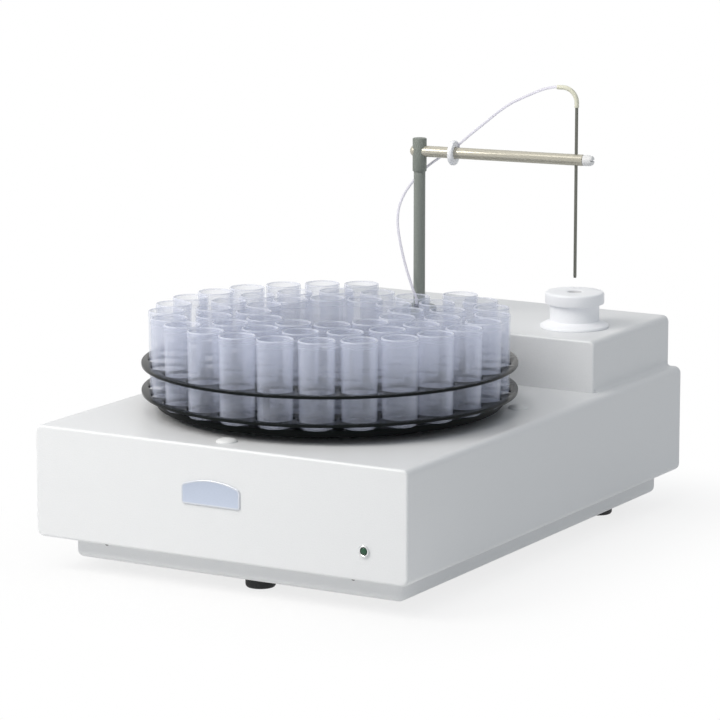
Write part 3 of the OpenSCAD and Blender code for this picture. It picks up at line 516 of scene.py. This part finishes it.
fit_out(wash_lines, hose_clear, "base", "hose_clear", "wash_hoses")


# Cover: a folded steel hood with a raised block at the back, painted satin white.
# It is bent along its sides and welded crisp around its front and back.
# A lip turned in below rests on the pan.
def cut(piece, tools, operation="DIFFERENCE"):
    """Cuts or joins pieces by boolean, and removes the tools."""
    for tool in tools:
        bpy.context.view_layer.objects.active = piece
        change = piece.modifiers.new("cut", "BOOLEAN")
        change.operation = operation
        change.solver = "EXACT"
        change.object = tool
        bpy.ops.object.modifier_apply(modifier=change.name)
        bpy.data.objects.remove(tool)


along_x = (0.0, math.pi / 2, 0.0)
along_y = (math.pi / 2, 0.0, 0.0)
upright = (0.0, 0.0, 0.0)


def drill(place, radius, depth, turn=upright, steps=48):
    """Round cutter centred on a place, upright unless it is turned."""
    bpy.ops.object.select_all(action="DESELECT")
    bpy.ops.mesh.primitive_cylinder_add(vertices=steps, radius=radius, depth=depth,
                                        location=place, rotation=turn)
    bpy.ops.object.transform_apply(location=True, rotation=True, scale=True)
    return bpy.context.object


def bent_block(name, low, high):
    """Box with wide bends along Y and tight edges around its front and back."""
    piece = block(name, low, high)
    edit(piece)
    choose_edges(piece, lambda a, b: abs(a.y - b.y) > 0.01)
    bpy.ops.mesh.bevel(offset=0.005, segments=6, affect="EDGES")
    choose_edges(piece, lambda a, b: abs(a.y - b.y) < 0.001)
    bpy.ops.mesh.bevel(offset=0.002, segments=4, affect="EDGES")
    bpy.ops.object.mode_set(mode="OBJECT")
    return piece


hood_side = 0.15
hood_front = -0.211
hood_back = 0.211
hood_top = 0.105
block_side = 0.1395
rack_y = -0.0584
column_x = -0.025
column_y = 0.117
light_x = 0.1164
light_z = 0.0462
cover = bent_block("cover_shell", (-hood_side, hood_front, 0.025), (hood_side, hood_back, hood_top))
raised = bent_block("raised_block", (-block_side, 0.0835, 0.085), (block_side, 0.2105, block_top))
cut(cover, [raised], "UNION")
for side in (-1, 1):
    strip_x = sorted((0.1385 * side, 0.1435 * side))
    strip = block("weld_fillet", (strip_x[0], 0.0865, 0.1040), (strip_x[1], 0.2075, 0.109))
    cut(strip, [drill((0.1435 * side, 0.146, 0.109), 0.004, 0.2, along_y, 64)])
    cut(cover, [strip], "UNION")
cut(cover, [
    block("hollow", (-0.1475, -0.2085, 0.0275), (0.1475, 0.2085, 0.1025)),
    block("block_hollow", (-0.137, 0.086, 0.1015), (0.137, 0.208, 0.141)),
    block("lip_opening", (-0.117, -0.187, 0.02), (0.128, 0.185, 0.03)),
    drill((0.0, rack_y, 0.104), 0.026, 0.02),
    drill((column_x, column_y, 0.142), 0.009, 0.02),
    drill((needle_x, needle_y, 0.142), 0.0123, 0.02),
    drill((light_x, -0.21, light_z), 0.0031, 0.02, along_y),
    block("bay_window", (-0.02, 0.2, 0.042), (0.128, 0.22, 0.088))])
close(cover, 30.0)
even_normals(cover)
fit_out(cover, white_paint, "base", "paint_white", "cover")


# Pan screws: small blackened button-head screws that hold the pan's edge to the hood.
# Two stand at the front and three on each side, just under the hood's lower edge.
screw_z = 0.0228
screw = turned("screw", [
    (0.0, 0.0004), (0.0008, 0.0004), (0.0009, 0.0009), (0.0012, 0.0010), (0.0016, 0.00085),
    (0.00188, 0.0005), (0.0020, 0.00015), (0.0020, 0.0), (0.0014, 0.0), (0.0014, -0.003),
    (0.0, -0.003)], steps=32)
screw_places = [(-0.1, pan_front, screw_z), (0.1, pan_front, screw_z)]
screw_turns = [along_y, along_y]
for screw_y in (-0.161, 0.0095, 0.180):
    screw_places += [(pan_right, screw_y, screw_z), (pan_left, screw_y, screw_z)]
    screw_turns += [along_x, (0.0, -math.pi / 2, 0.0)]
pan_fixings = copies(screw, screw_places, "pan_fixings", screw_turns)
dark_screw = surface("dark_screw", (0.035, 0.035, 0.037), 0.38, metal=0.6, grain=1500.0, tint=0.2)
fit_out(pan_fixings, dark_screw, "base", "dark_screw", "pan_screws")


# Cover plugs: three white nylon buttons, moulded, that hide the hood's own screws.
# They are pressed into the hood's top, one in front of the rack and one on each side.
plug = turned("plug", [
    (0.0, 0.0027), (0.0014, 0.00267), (0.0028, 0.00252), (0.0042, 0.00228), (0.0055, 0.00188),
    (0.0065, 0.0014), (0.0071, 0.0009), (0.0073, 0.00045), (0.0073, 0.0), (0.0042, 0.0),
    (0.0042, 0.0018), (0.0, 0.0018)], steps=56)
plug_places = [(-0.0028, -0.193, hood_top), (0.1166, 0.0089, hood_top), (-0.1166, 0.0089, hood_top)]
plugs = copies(plug, plug_places, "hood_plugs")
plug_white = surface("plug_white", (0.80, 0.81, 0.81), 0.42, grain=900.0, tint=0.02, relief=0.04)
fit_out(plugs, plug_white, "base", "plug_white", "cover_plugs")


# Name plate: a pressed plate with an arched top and a soft rim, stuck on the front.
# Its field is left bare, a cool silver brushed along its length.
plate_face = -0.212
plate_x = -0.0045
plate_half = 0.0235
plate_top = 0.0810
arch = 0.0623
badge = block("badge", (plate_x - plate_half, plate_face, 0.0628),
              (plate_x + plate_half, hood_front, plate_top))
edit(badge)
choose_edges(badge, lambda a, b: abs(a.x - b.x) > 0.04)
bpy.ops.mesh.subdivide(number_cuts=19)
mesh = bmesh.from_edit_mesh(badge.data)
for corner in mesh.verts:
    if corner.co.z > plate_top - 0.001:
        corner.co.z -= arch - math.sqrt(arch ** 2 - (corner.co.x - plate_x) ** 2)
bmesh.update_edit_mesh(badge.data)
choose_edges(badge, lambda a, b: abs(a.y - b.y) > 0.0008 and abs(a.x - plate_x) > 0.0233)
bpy.ops.mesh.bevel(offset=0.0022, segments=6, affect="EDGES")
choose_faces(badge, lambda c, n: n.y < -0.9)
bpy.ops.mesh.inset(thickness=0.0008, depth=0.0)
bpy.ops.mesh.inset(thickness=0.0003, depth=-0.00015)
bpy.ops.object.mode_set(mode="OBJECT")
round_edges(badge, 0.0004, 3, 50.0)
close(badge, 50.0)
plate_rim = surface("plate_rim", (0.66, 0.69, 0.75), 0.34, metal=0.5, grain=900.0, tint=0.03)
plate_field = surface("plate_field", (0.54, 0.60, 0.72), 0.38, metal=0.4, grain=420.0,
                      stretch=(1.0, 1.0, 26.0), tint=0.05)
fit_out(badge, plate_rim, "base", "badge_plate", "name_plate")
badge.data.materials.append(plate_field)
for face in badge.data.polygons:
    if face.normal.y < -0.9 and face.center.y > plate_face + 0.0001:
        face.material_index = 1


# Status light: a chromed bezel around a domed green lens, pushed through the front.
# A clip behind the front holds it.
light_place = (light_x, hood_front, light_z)
bezel = turned("light_bezel", [
    (0.0025, -0.006), (0.0025, 0.0004), (0.0028, 0.0009), (0.0032, 0.00135), (0.0036, 0.0015),
    (0.0039, 0.00135), (0.0041, 0.0009), (0.00415, 0.0004), (0.00415, 0.0), (0.0030, 0.0),
    (0.0030, -0.006), (0.0025, -0.006)], turn=along_y, place=light_place)
chrome = surface("bezel_chrome", (0.78, 0.79, 0.80), 0.10, metal=1.0, grain=1500.0, tint=0.03,
                 sheen=0.03)
fit_out(bezel, chrome, "base", "bezel_chrome", "led_bezel")
lens = turned("light_lens", [
    (0.0, -0.006), (0.0023, -0.006), (0.0024, 0.0002), (0.0022, 0.0006), (0.0017, 0.00095),
    (0.0009, 0.00115), (0.0, 0.0012)], turn=along_y, place=light_place)
lens_green = surface("lens_green", (0.012, 0.075, 0.035), 0.12, grain=2500.0, tint=0.2)
fit_out(lens, lens_green, "base", "lens_green", "led_lens")


# Rear panel: a grey powder-coated plate, set back in a window of the hood.
# Four dark screws hold it, and the mains, switch, data and hose fittings go through it.
dress("rear_panel", surface("panel_grey", (0.40, 0.41, 0.42), 0.48, grain=1400.0, tint=0.05,
                            relief=0.12))
panel_screw = turned("panel_screw", [
    (0.0, 0.0006), (0.0012, 0.0006), (0.0014, 0.0013), (0.0017, 0.0015), (0.0023, 0.0012),
    (0.0027, 0.0006), (0.0028, 0.0001), (0.0028, 0.0), (0.00125, 0.0), (0.00125, -0.006),
    (0.0, -0.006)], steps=32)
backwards = (-math.pi / 2, 0.0, 0.0)
panel_corners = [(x, hood_back, z) for x in (-0.025, 0.133) for z in (0.046, 0.084)]
panel_fixings = copies(panel_screw, panel_corners, "panel_fixings", [backwards] * 4)
fit_out(panel_fixings, dark_screw, "base", "dark_screw", "panel_screws")


# Mains inlet: a black moulded three-pin socket, snapped into the rear panel.
# Two corners of its recess are cut, and the pins are plated brass.
def round_corners(piece, width, segments=5, depth=0.001):
    """Rounds the edges that run from front to back."""
    edit(piece)
    choose_edges(piece, lambda a, b: abs(a.y - b.y) > depth)
    bpy.ops.mesh.bevel(offset=width, segments=segments, affect="EDGES")
    bpy.ops.object.mode_set(mode="OBJECT")


bay_face = 0.1885
bay_z = 0.065
inlet_x = 0.100
inlet = block("inlet_body", (inlet_x - 0.0158, bay_face, bay_z - 0.0122),
              (inlet_x + 0.0158, bay_face + 0.0025, bay_z + 0.0122))
round_corners(inlet, 0.003)
shroud = block("shroud", (inlet_x - 0.0135, bay_face - 0.018, bay_z - 0.0099),
               (inlet_x + 0.0135, bay_face + 0.0005, bay_z + 0.0099))
cut(inlet, [shroud], "UNION")
recess = block("recess", (inlet_x - 0.012, bay_face - 0.014, bay_z - 0.008),
               (inlet_x + 0.012, bay_face + 0.008, bay_z + 0.008))
edit(recess)
choose_edges(recess, lambda a, b: abs(a.y - b.y) > 0.001 and a.z > bay_z)
bpy.ops.mesh.bevel(offset=0.0045, segments=1, affect="EDGES")
bpy.ops.object.mode_set(mode="OBJECT")
cut(inlet, [recess])
round_edges(inlet, 0.0003, 2)
close(inlet, 30.0)
socket_black = surface("socket_black", (0.016, 0.016, 0.017), 0.40, grain=1800.0, tint=0.2,
                       relief=0.1)
fit_out(inlet, socket_black, "base", "socket_black", "mains_inlet")
pins = []
for pin_x, pin_z in ((-0.007, -0.0016), (0.0, 0.0024), (0.007, -0.0016)):
    pin = block("pin", (inlet_x + pin_x - 0.001, bay_face - 0.015, bay_z + pin_z - 0.002),
                (inlet_x + pin_x + 0.001, bay_face, bay_z + pin_z + 0.002))
    round_edges(pin, 0.0004, 3)
    pins.append(pin)
inlet_pins = join(pins, "inlet_pins")
close(inlet_pins)
socket_steel = surface("socket_steel", (0.66, 0.66, 0.65), 0.26, metal=1.0, grain=900.0)
fit_out(inlet_pins, socket_steel, "base", "socket_steel")


# Mains switch: a black frame with a red rocker that tips about a pin.
# The rocker is one moulding with a hollow face on each half.
switch_x = 0.062
switch_frame = block("switch_frame", (switch_x - 0.011, bay_face, bay_z - 0.008),
                     (switch_x + 0.011, bay_face + 0.002, bay_z + 0.008))
round_corners(switch_frame, 0.0015)
well = block("switch_well", (switch_x - 0.0093, bay_face - 0.016, bay_z - 0.0063),
             (switch_x + 0.0093, bay_face + 0.0005, bay_z + 0.0063))
cut(switch_frame, [well], "UNION")
cut(switch_frame, [block("mouth", (switch_x - 0.008, bay_face - 0.008, bay_z - 0.005),
                         (switch_x + 0.008, bay_face + 0.006, bay_z + 0.005))])
round_edges(switch_frame, 0.0003, 2)
close(switch_frame, 30.0)
fit_out(switch_frame, socket_black, "base", "socket_black", "switch_bezel")
dress("switch_rocker", surface("rocker_red", (0.50, 0.035, 0.025), 0.30, grain=900.0, tint=0.06))


# Data socket: a nine-hole socket in a pressed steel shell with two threaded posts.
# The shell is wider at the top, and the black insert holds the contacts.
data_x = 0.026
shell = block("data_shell", (data_x - 0.0086, bay_face - 0.009, bay_z - 0.0042),
              (data_x + 0.0086, bay_face + 0.007, bay_z + 0.0042))
edit(shell)
choose_faces(shell, lambda c, n: n.z < -0.9)
bpy.ops.transform.resize(value=(0.86, 1.0, 1.0), center_override=(data_x, bay_face, bay_z - 0.0042))
bpy.ops.object.mode_set(mode="OBJECT")
round_corners(shell, 0.0016)
edit(shell)
choose_faces(shell, lambda c, n: n.y > 0.9)
bpy.ops.mesh.inset(thickness=0.0006, depth=0.0)
bpy.ops.mesh.extrude_region_move(TRANSFORM_OT_translate={"value": (0.0, -0.0055, 0.0)})
bpy.ops.object.mode_set(mode="OBJECT")
flange = block("data_flange", (data_x - 0.0154, bay_face, bay_z - 0.0062),
               (data_x + 0.0154, bay_face + 0.0012, bay_z + 0.0062))
round_corners(flange, 0.0015)
cut(shell, [flange], "UNION")
posts = []
for side in (-1, 1):
    post = drill((data_x + 0.0124 * side, bay_face + 0.0034, bay_z), 0.0025, 0.0052, along_y, 6)
    cut(post, [drill((data_x + 0.0124 * side, bay_face + 0.005, bay_z), 0.0013, 0.006, along_y, 24)])
    posts.append(post)
round_edges(shell, 0.0002, 2)
data_shell = join([shell] + posts, "data_shell")
close(data_shell, 30.0)
fit_out(data_shell, socket_steel, "base", "socket_steel", "data_socket")
insert = block("data_insert", (data_x - 0.0073, bay_face + 0.001, bay_z - 0.0034),
               (data_x + 0.0073, bay_face + 0.0064, bay_z + 0.0034))
edit(insert)
choose_faces(insert, lambda c, n: n.z < -0.9)
bpy.ops.transform.resize(value=(0.86, 1.0, 1.0), center_override=(data_x, bay_face, bay_z - 0.0034))
bpy.ops.object.mode_set(mode="OBJECT")
round_corners(insert, 0.0012)
contacts = []
for count, row_z in ((5, 0.0014), (4, -0.0014)):
    for k in range(count):
        contact_x = data_x + 0.00277 * (k - (count - 1) / 2)
        contacts.append(drill((contact_x, bay_face + 0.0064, bay_z + row_z), 0.0006, 0.006,
                              along_y, 16))
cut(insert, [join(contacts, "contacts")])
close(insert, 30.0)
fit_out(insert, socket_black, "base", "socket_black")


# Hose barbs: two white moulded fittings for the rinse and waste hoses, one above the other.
# Each has a flange and three ridges that a hose is pushed over.
barb = turned("barb", [
    (0.001, -0.013), (0.002, -0.013), (0.002, -0.009), (0.003, -0.009), (0.003, 0.0), (0.005, 0.0),
    (0.005, 0.0026), (0.0046, 0.003), (0.0028, 0.003), (0.0021, 0.0036), (0.0020, 0.0052),
    (0.0025, 0.0056), (0.0020, 0.0088), (0.0025, 0.0092), (0.0020, 0.0124), (0.0025, 0.0128),
    (0.0017, 0.016), (0.001, 0.016), (0.001, -0.013)], steps=40)
barbs = copies(barb, [(-0.0071, bay_face, 0.057), (-0.0071, bay_face, 0.073)], "barbs",
               [backwards] * 2)
barb_white = surface("barb_white", (0.74, 0.74, 0.73), 0.44, grain=700.0, tint=0.03)
fit_out(barbs, barb_white, "base", "barb_white", "hose_barbs")


# Rack plate: the black bottom plate on which the tubes stand, turned and anodised.
# It is screwed to the hub of the spindle and turns with it.
rack_place = (0.0, rack_y, 0.0)
rack_bottom = turned("rack_bottom", [
    (0.0063, 0.1099), (0.1236, 0.1099), (0.1239, 0.1100), (0.1240, 0.1103), (0.1240, 0.1140),
    (0.1239, 0.1143), (0.1236, 0.1144), (0.0063, 0.1144), (0.0063, 0.1099)],
    steps=160, place=rack_place)
plate_black = surface("plate_black", (0.006, 0.008, 0.008), 0.34, grain=260.0, tint=0.15,
                      sheen=0.05, relief=0.02, shine=0.05)
fit_out(rack_bottom, plate_black, "rack", "plate_black", "rack_plate")


# Rack discs: two thin black discs, drilled in three rings, that hold the tubes upright.
# Each is cut from glossy black plastic sheet, and its edges are broken.
def ring_places(radius, first, count, blank=()):
    """Centres and angles of the places on one ring of the rack."""
    found = []
    for k in range(count):
        angle = math.radians(first + 360.0 / count * k)
        if k not in blank:
            found.append((radius * math.cos(angle), rack_y + radius * math.sin(angle), angle))
    return found


outer_ring = ring_places(0.1164, -6.3, 25, (6, 7))
middle_ring = ring_places(0.084, 11.3, 17)
inner_ring = ring_places(0.054, 2.3, 12)
disc_black = surface("disc_black", (0.006, 0.008, 0.008), 0.14, grain=320.0, tint=0.15,
                     sheen=0.04, relief=0.015, shine=0.08)
disc_radius = 0.1345
disc_sheet = 0.002
spindle_radius = 0.0063
hole_radius = 0.0134
for disc_name, disc_node, disc_low in (("holding_disc", "lower_disc", 0.1185),
                                       ("top_disc", "upper_disc", 0.1383)):
    disc_z = disc_low + disc_sheet / 2
    disc = drill((0.0, rack_y, disc_z), disc_radius, disc_sheet, steps=192)
    disc.name = disc_name
    holes = [drill((0.0, rack_y, disc_z), spindle_radius, 0.01)]
    for hole_x, hole_y, angle in outer_ring + middle_ring + inner_ring:
        holes.append(drill((hole_x, hole_y, disc_z), hole_radius, 0.01))
    cut(disc, [join(holes, "hole_cutters")])
    round_edges(disc, 0.00025, 2)
    close(disc, 30.0)
    fit_out(disc, disc_black, "rack", "disc_black", disc_node)


# Rack spacers and nut: sleeves that keep the discs apart, and the nut that clamps them.
# The sleeves are cut tube and the nut is knurled to turn by hand; both are anodised black.
dress("rack_spacers", plate_black)
nut = turned("knurled_nut", [
    (0.0061, 0.1403), (0.0090, 0.1403), (0.0096, 0.1409), (0.0096, 0.1477), (0.0090, 0.1483),
    (0.0061, 0.1483), (0.0061, 0.1403)], steps=72, place=rack_place)
edit(nut)
choose_faces(nut, lambda c, n: math.hypot(c.x, c.y - rack_y) > 0.0094
             and int((math.atan2(c.y - rack_y, c.x) + math.pi) / (2 * math.pi) * 72) % 3 < 2)
bpy.ops.mesh.extrude_region_shrink_fatten(TRANSFORM_OT_shrink_fatten={"value": 0.00035})
close(nut, 30.0)
fit_out(nut, plate_black, "rack", "plate_black", "rack_nut")


# Sample tubes: 52 milky plastic vials in three rings, each with a slightly thicker rim.
# They are moulded with a thin wall, a slight taper and a flat foot, and stand in the discs.
seat = 0.1144
vial = turned("vial", [
    (0.0, 0.00030), (0.0060, 0.00025), (0.0090, 0.00008), (0.0098, 0.0), (0.0106, 0.0002),
    (0.0114, 0.0007), (0.0119, 0.0014), (0.0122, 0.0026), (0.0124, 0.0160), (0.01265, 0.0420),
    (0.01278, 0.0564),
    (0.01282, 0.0569), (0.01295, 0.0572), (0.0130, 0.0577), (0.0130, 0.0606), (0.0129, 0.0612),
    (0.0126, 0.06155), (0.0123, 0.0616), (0.0120, 0.0615), (0.01175, 0.0612), (0.01165, 0.0606),
    (0.0116, 0.0570), (0.0114, 0.0300), (0.0112, 0.0034), (0.0110, 0.0022), (0.0104, 0.0015),
    (0.0094, 0.00125), (0.0, 0.0012)], steps=48)
tube_clear = clear("tube_clear", (0.76, 0.80, 0.93), 0.16, 0.112, 0.62)
tube_lip = clear("tube_lip", (0.82, 0.85, 0.96), 0.14, 0.30, 0.74)
for ring_name, ring_node, places in (("outer_vials", "outer_tubes", outer_ring),
                                     ("middle_vials", "middle_tubes", middle_ring),
                                     ("inner_vials", "inner_tubes", inner_ring)):
    bpy.ops.object.select_all(action="DESELECT")
    vial.select_set(True)
    bpy.context.view_layer.objects.active = vial
    bpy.ops.object.duplicate(linked=False)
    vials = copies(bpy.context.object, [(x, y, seat) for x, y, angle in places], ring_name,
                   [(0.0, 0.0, angle) for x, y, angle in places])
    fit_out(vials, tube_clear, "rack", "tube_clear", ring_node)
    vials.data.materials.append(tube_lip)
    for face in vials.data.polygons:
        if face.center.z > seat + 0.0606 or abs(face.center.z - seat - 0.0570) < 0.0003:
            face.material_index = 1
bpy.data.objects.remove(vial)


# Turret collar: the turned collar on the block's top that swings with the column.
# A small rubber grommet beside the column takes the hose down into the housing.
arm_z = 0.2683
arm_angle = math.radians(6.6)


def on_arm(along, behind, up):
    """Place measured along the arm from the column, behind it and above its axis."""
    return (column_x + along * math.cos(arm_angle) - behind * math.sin(arm_angle),
            column_y + along * math.sin(arm_angle) + behind * math.cos(arm_angle),
            arm_z + up)


head_grey = surface("head_grey", (0.235, 0.257, 0.230), 0.50, metal=0.1, grain=1600.0, tint=0.06,
                    relief=0.03, shine=0.3)
dress("turret_tube", head_grey)
collar = turned("collar", [
    (0.0080, 0.1438), (0.0126, 0.1438), (0.0130, 0.1442), (0.0130, 0.1499), (0.0127, 0.1504),
    (0.0121, 0.1507), (0.0047, 0.1507), (0.0047, 0.1495), (0.0080, 0.1495), (0.0080, 0.1438)],
    steps=80, place=(column_x, column_y, 0.0))
grommet_x, grommet_y = on_arm(0.002, -0.0098, 0.0)[:2]
cut(collar, [drill((grommet_x, grommet_y, 0.148), 0.0013, 0.02, steps=24)])
close(collar, 30.0)
fit_out(collar, head_grey, "turret", "head_grey", "turret_collar")
grommet = turned("hose_grommet", [
    (0.0011, 0.1503), (0.0023, 0.1507), (0.0023, 0.1524), (0.0021, 0.1531), (0.0016, 0.1535),
    (0.0013, 0.1533), (0.0011, 0.1527), (0.0011, 0.1503)], steps=32,
    place=(grommet_x, grommet_y, 0.0))
fit_out(grommet, foot_rubber, "turret", "head_grey")


# Column: a ground and anodised post that turns and slides through the collar.
# Its grey-green colour is worn even, with fine marks around it.
column_grey = surface("column_grey", (0.265, 0.288, 0.262), 0.46, metal=0.1, grain=220.0,
                      stretch=(1.0, 1.0, 14.0), tint=0.06, relief=0.015, shine=0.3)
dress("column", column_grey)


# Arm head: a turned sleeve that is glued on the column and holds the arm in a cross hole.
# It is anodised a shade darker than the column, and is matt.
head = turned("head_sleeve", [
    (0.0, 0.2614), (0.0044, 0.2614), (0.0044, 0.2529), (0.0047, 0.2529), (0.0051, 0.2532),
    (0.0053, 0.2537), (0.0053, 0.2775), (0.00515, 0.2779), (0.0047, 0.2781), (0.0, 0.2781)],
    steps=64, place=(column_x, column_y, 0.0))
arm_turn = (0.0, math.pi / 2, arm_angle)
cut(head, [drill((column_x, column_y, arm_z), 0.00426, 0.03, arm_turn, 64)])
close(head, 30.0)
fit_out(head, head_grey, "arm", "head_grey", "arm_head")


# Arm: a round rod with a domed rear end, anodised champagne and finely turned.
# The needle passes through it near its free end, where a screw clamps it.
arm_place = (column_x, column_y, arm_z)
rod = turned("arm_tube", [
    (0.0, -0.0074), (0.0011, -0.0073), (0.0021, -0.0070), (0.0030, -0.0064), (0.0037, -0.0056),
    (0.0041, -0.0046), (0.00425, -0.0036), (0.00425, 0.1300), (0.0041, 0.1304), (0.0038, 0.1305),
    (0.0022, 0.1305), (0.0022, 0.1200), (0.0, 0.1200)], steps=64, turn=arm_turn, place=arm_place)
needle_along = 0.125
cut(rod, [drill(on_arm(needle_along, 0.0, 0.0), 0.00122, 0.02, steps=24)])
close(rod, 30.0)
champagne = surface("arm_champagne", (0.53, 0.505, 0.42), 0.22, metal=0.25, grain=900.0,
                    tint=0.04, sheen=0.04, relief=0.008, shine=0.5)
fit_out(rod, champagne, "arm", "arm_champagne", "arm_rod")


# Hose ring: a white moulded ring pushed on the arm near the column.
# A hole in its upper rear part leads the hose.
ring = turned("guide_ring", [
    (0.00428, 0.0263), (0.0050, 0.0258), (0.0084, 0.0257), (0.0088, 0.0258), (0.0091, 0.0261),
    (0.0093, 0.0267), (0.0093, 0.0283), (0.0091, 0.0289), (0.0088, 0.0292), (0.0084, 0.0293),
    (0.0050, 0.0292), (0.00428, 0.0287), (0.00428, 0.0263)],
    steps=64, turn=arm_turn, place=arm_place)
cut(ring, [drill(on_arm(0.0275, 0.0057, 0.0038), 0.0017, 0.02, arm_turn, 24)])
close(ring, 30.0)
wash_white = surface("wash_white", (0.95, 0.96, 0.99), 0.36, grain=800.0, tint=0.015, relief=0.03)
fit_out(ring, wash_white, "arm", "wash_white", "hose_ring")


# Clamp screw: a white nylon screw in the arm's end that presses on the needle.
# Its head tapers and has a sawn slot for a coin or a blade.
clamp = turned("clamp", [
    (0.0, 0.1265), (0.0020, 0.1265), (0.0020, 0.1308), (0.0039, 0.1308), (0.0041, 0.1311),
    (0.0041, 0.1334), (0.00398, 0.1352), (0.0037, 0.1369), (0.0033, 0.1379), (0.0027, 0.1384),
    (0.0019, 0.1386), (0.0, 0.1386)], steps=56, turn=arm_turn, place=arm_place)
slot = block("slot", (-0.0005, -0.006, 0.1370), (0.0005, 0.006, 0.145))
slot.rotation_euler = arm_turn
slot.location = arm_place
cut(clamp, [slot])
round_edges(clamp, 0.0002, 2)
close(clamp, 30.0)
nylon_white = surface("nylon_white", (0.82, 0.82, 0.82), 0.40, grain=900.0, tint=0.02)
fit_out(clamp, nylon_white, "needle_clamp", "nylon_white", "clamp_screw")


# Needle and elbow: a steel tube held upright in the arm, with a soft elbow on its top.
# The needle is drawn stainless steel, and the elbow is ivory silicone pushed over it.
dress("needle", surface("needle_steel", (0.165, 0.168, 0.145), 0.36, metal=0.5, grain=300.0,
                        stretch=(1.0, 1.0, 0.1), tint=0.04, relief=0.01))
needle_up = 0.0422
bend_radius = 0.011
elbow_line = [on_arm(needle_along, 0.0, needle_up - 0.0034)]
for k in range(15):
    angle = math.pi / 2 * k / 14
    elbow_line.append(on_arm(needle_along - bend_radius + bend_radius * math.cos(angle), 0.0,
                             needle_up + bend_radius * math.sin(angle)))
elbow_line.append(on_arm(needle_along - bend_radius - 0.0043, 0.0, needle_up + bend_radius))
elbow = hose_along("silicone_elbow", elbow_line, 0.0034, 6)
round_edges(elbow, 0.0003, 2)
close(elbow, 40.0)
elbow_silicone = surface("elbow_silicone", (0.76, 0.75, 0.61), 0.38, grain=600.0, tint=0.02,
                         relief=0.0)
fit_out(elbow, elbow_silicone, "arm", "elbow_silicone", "needle_elbow")


# Sample hose: a thin clear hose from the elbow through the ring, around the column
# and down into the grommet. Its route curves in a free loop between the arm and the collar.
hose_route = [
    (0.111, 0.0, 0.0532), (0.107, 0.0, 0.0531), (0.099, 0.0005, 0.0512), (0.090, 0.001, 0.0475),
    (0.081, 0.0016, 0.0434), (0.072, 0.0022, 0.0389), (0.062, 0.003, 0.0321),
    (0.052, 0.0038, 0.0241), (0.040, 0.0048, 0.0146), (0.027, 0.0057, 0.0038),
    (0.018, 0.007, -0.002), (0.011, 0.008, -0.0066), (0.003, 0.009, -0.0124),
    (-0.003, 0.009, -0.018), (-0.009, 0.0076, -0.0252), (-0.014, 0.0046, -0.0336),
    (-0.0168, 0.0006, -0.0434), (-0.0164, -0.0034, -0.0546), (-0.0132, -0.0064, -0.0682),
    (-0.008, -0.0086, -0.0852), (-0.002, -0.0096, -0.1015), (0.0014, -0.0098, -0.1096),
    (0.002, -0.0098, -0.1152)]
hose_line = smoothed([on_arm(*point) for point in hose_route], 5)
hose = hose_along("clear_hose", hose_line, 0.002, 4)
hose.data.materials.append(hose_clear)
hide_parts("sample_hose")
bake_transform(hose)


# Wash station: a white moulded well that rinses the needle at its rest place.
# The flanged base is screwed on the block, and the round cap lifts out of its neck.
# A grey sleeve lines the hole that the needle goes into; its grey is painted shade for the shadow
# inside the countersink and bore.
wash_place = (needle_x, needle_y, block_top)
wash_body = turned("wash_body", [
    (0.0008, -0.044), (0.0016, -0.044), (0.0016, -0.032), (0.012, -0.031), (0.012, 0.0),
    (0.0252, 0.0), (0.0255, 0.0003), (0.0255, 0.0014), (0.0253, 0.0018), (0.0248, 0.0021),
    (0.0184, 0.0052), (0.0184, 0.0175), (0.0181, 0.0178), (0.0144, 0.0178), (0.0144, 0.008),
    (0.0032, 0.008), (0.0032, -0.028), (0.0008, -0.028), (0.0008, -0.044)],
    steps=96, place=wash_place)
fit_out(wash_body, wash_white, "base", "wash_white", "wash_base")
cap_place = (needle_x, needle_y, block_top + 0.0178)
wash_top = turned("wash_top", [
    (0.0032, -0.009), (0.0141, -0.009), (0.0141, 0.0), (0.0214, 0.0), (0.0218, 0.0002),
    (0.0220, 0.0006), (0.0220, 0.0069), (0.0219, 0.0075), (0.02165, 0.0080), (0.0212, 0.0084),
    (0.0207, 0.00863), (0.0201, 0.0087), (0.0066, 0.0087), (0.0061, 0.0086), (0.0057, 0.0083),
    (0.0034, 0.0062), (0.0032, 0.0058), (0.0032, -0.009)], steps=96, place=cap_place)
fit_out(wash_top, wash_white, "cap", "wash_white", "wash_cap")
# Painted shade: a grey sleeve in the cap's countersink and bore stands in for the shadow in the
# hole.
bore_shade = turned("cap_bore_shade", [
    (0.0030, -0.004), (0.0032, -0.004), (0.0032, 0.0058), (0.0034, 0.0062), (0.0056, 0.0082),
    (0.0054, 0.00835), (0.0052, 0.0082), (0.0031, 0.0063), (0.0030, 0.0059), (0.0030, -0.004)],
    steps=48, place=cap_place)
bore_shade_grey = surface("bore_shade_grey", (0.60, 0.60, 0.62), 0.55, grain=900.0, tint=0.05)
fit_out(bore_shade, bore_shade_grey, "cap", "wash_white")
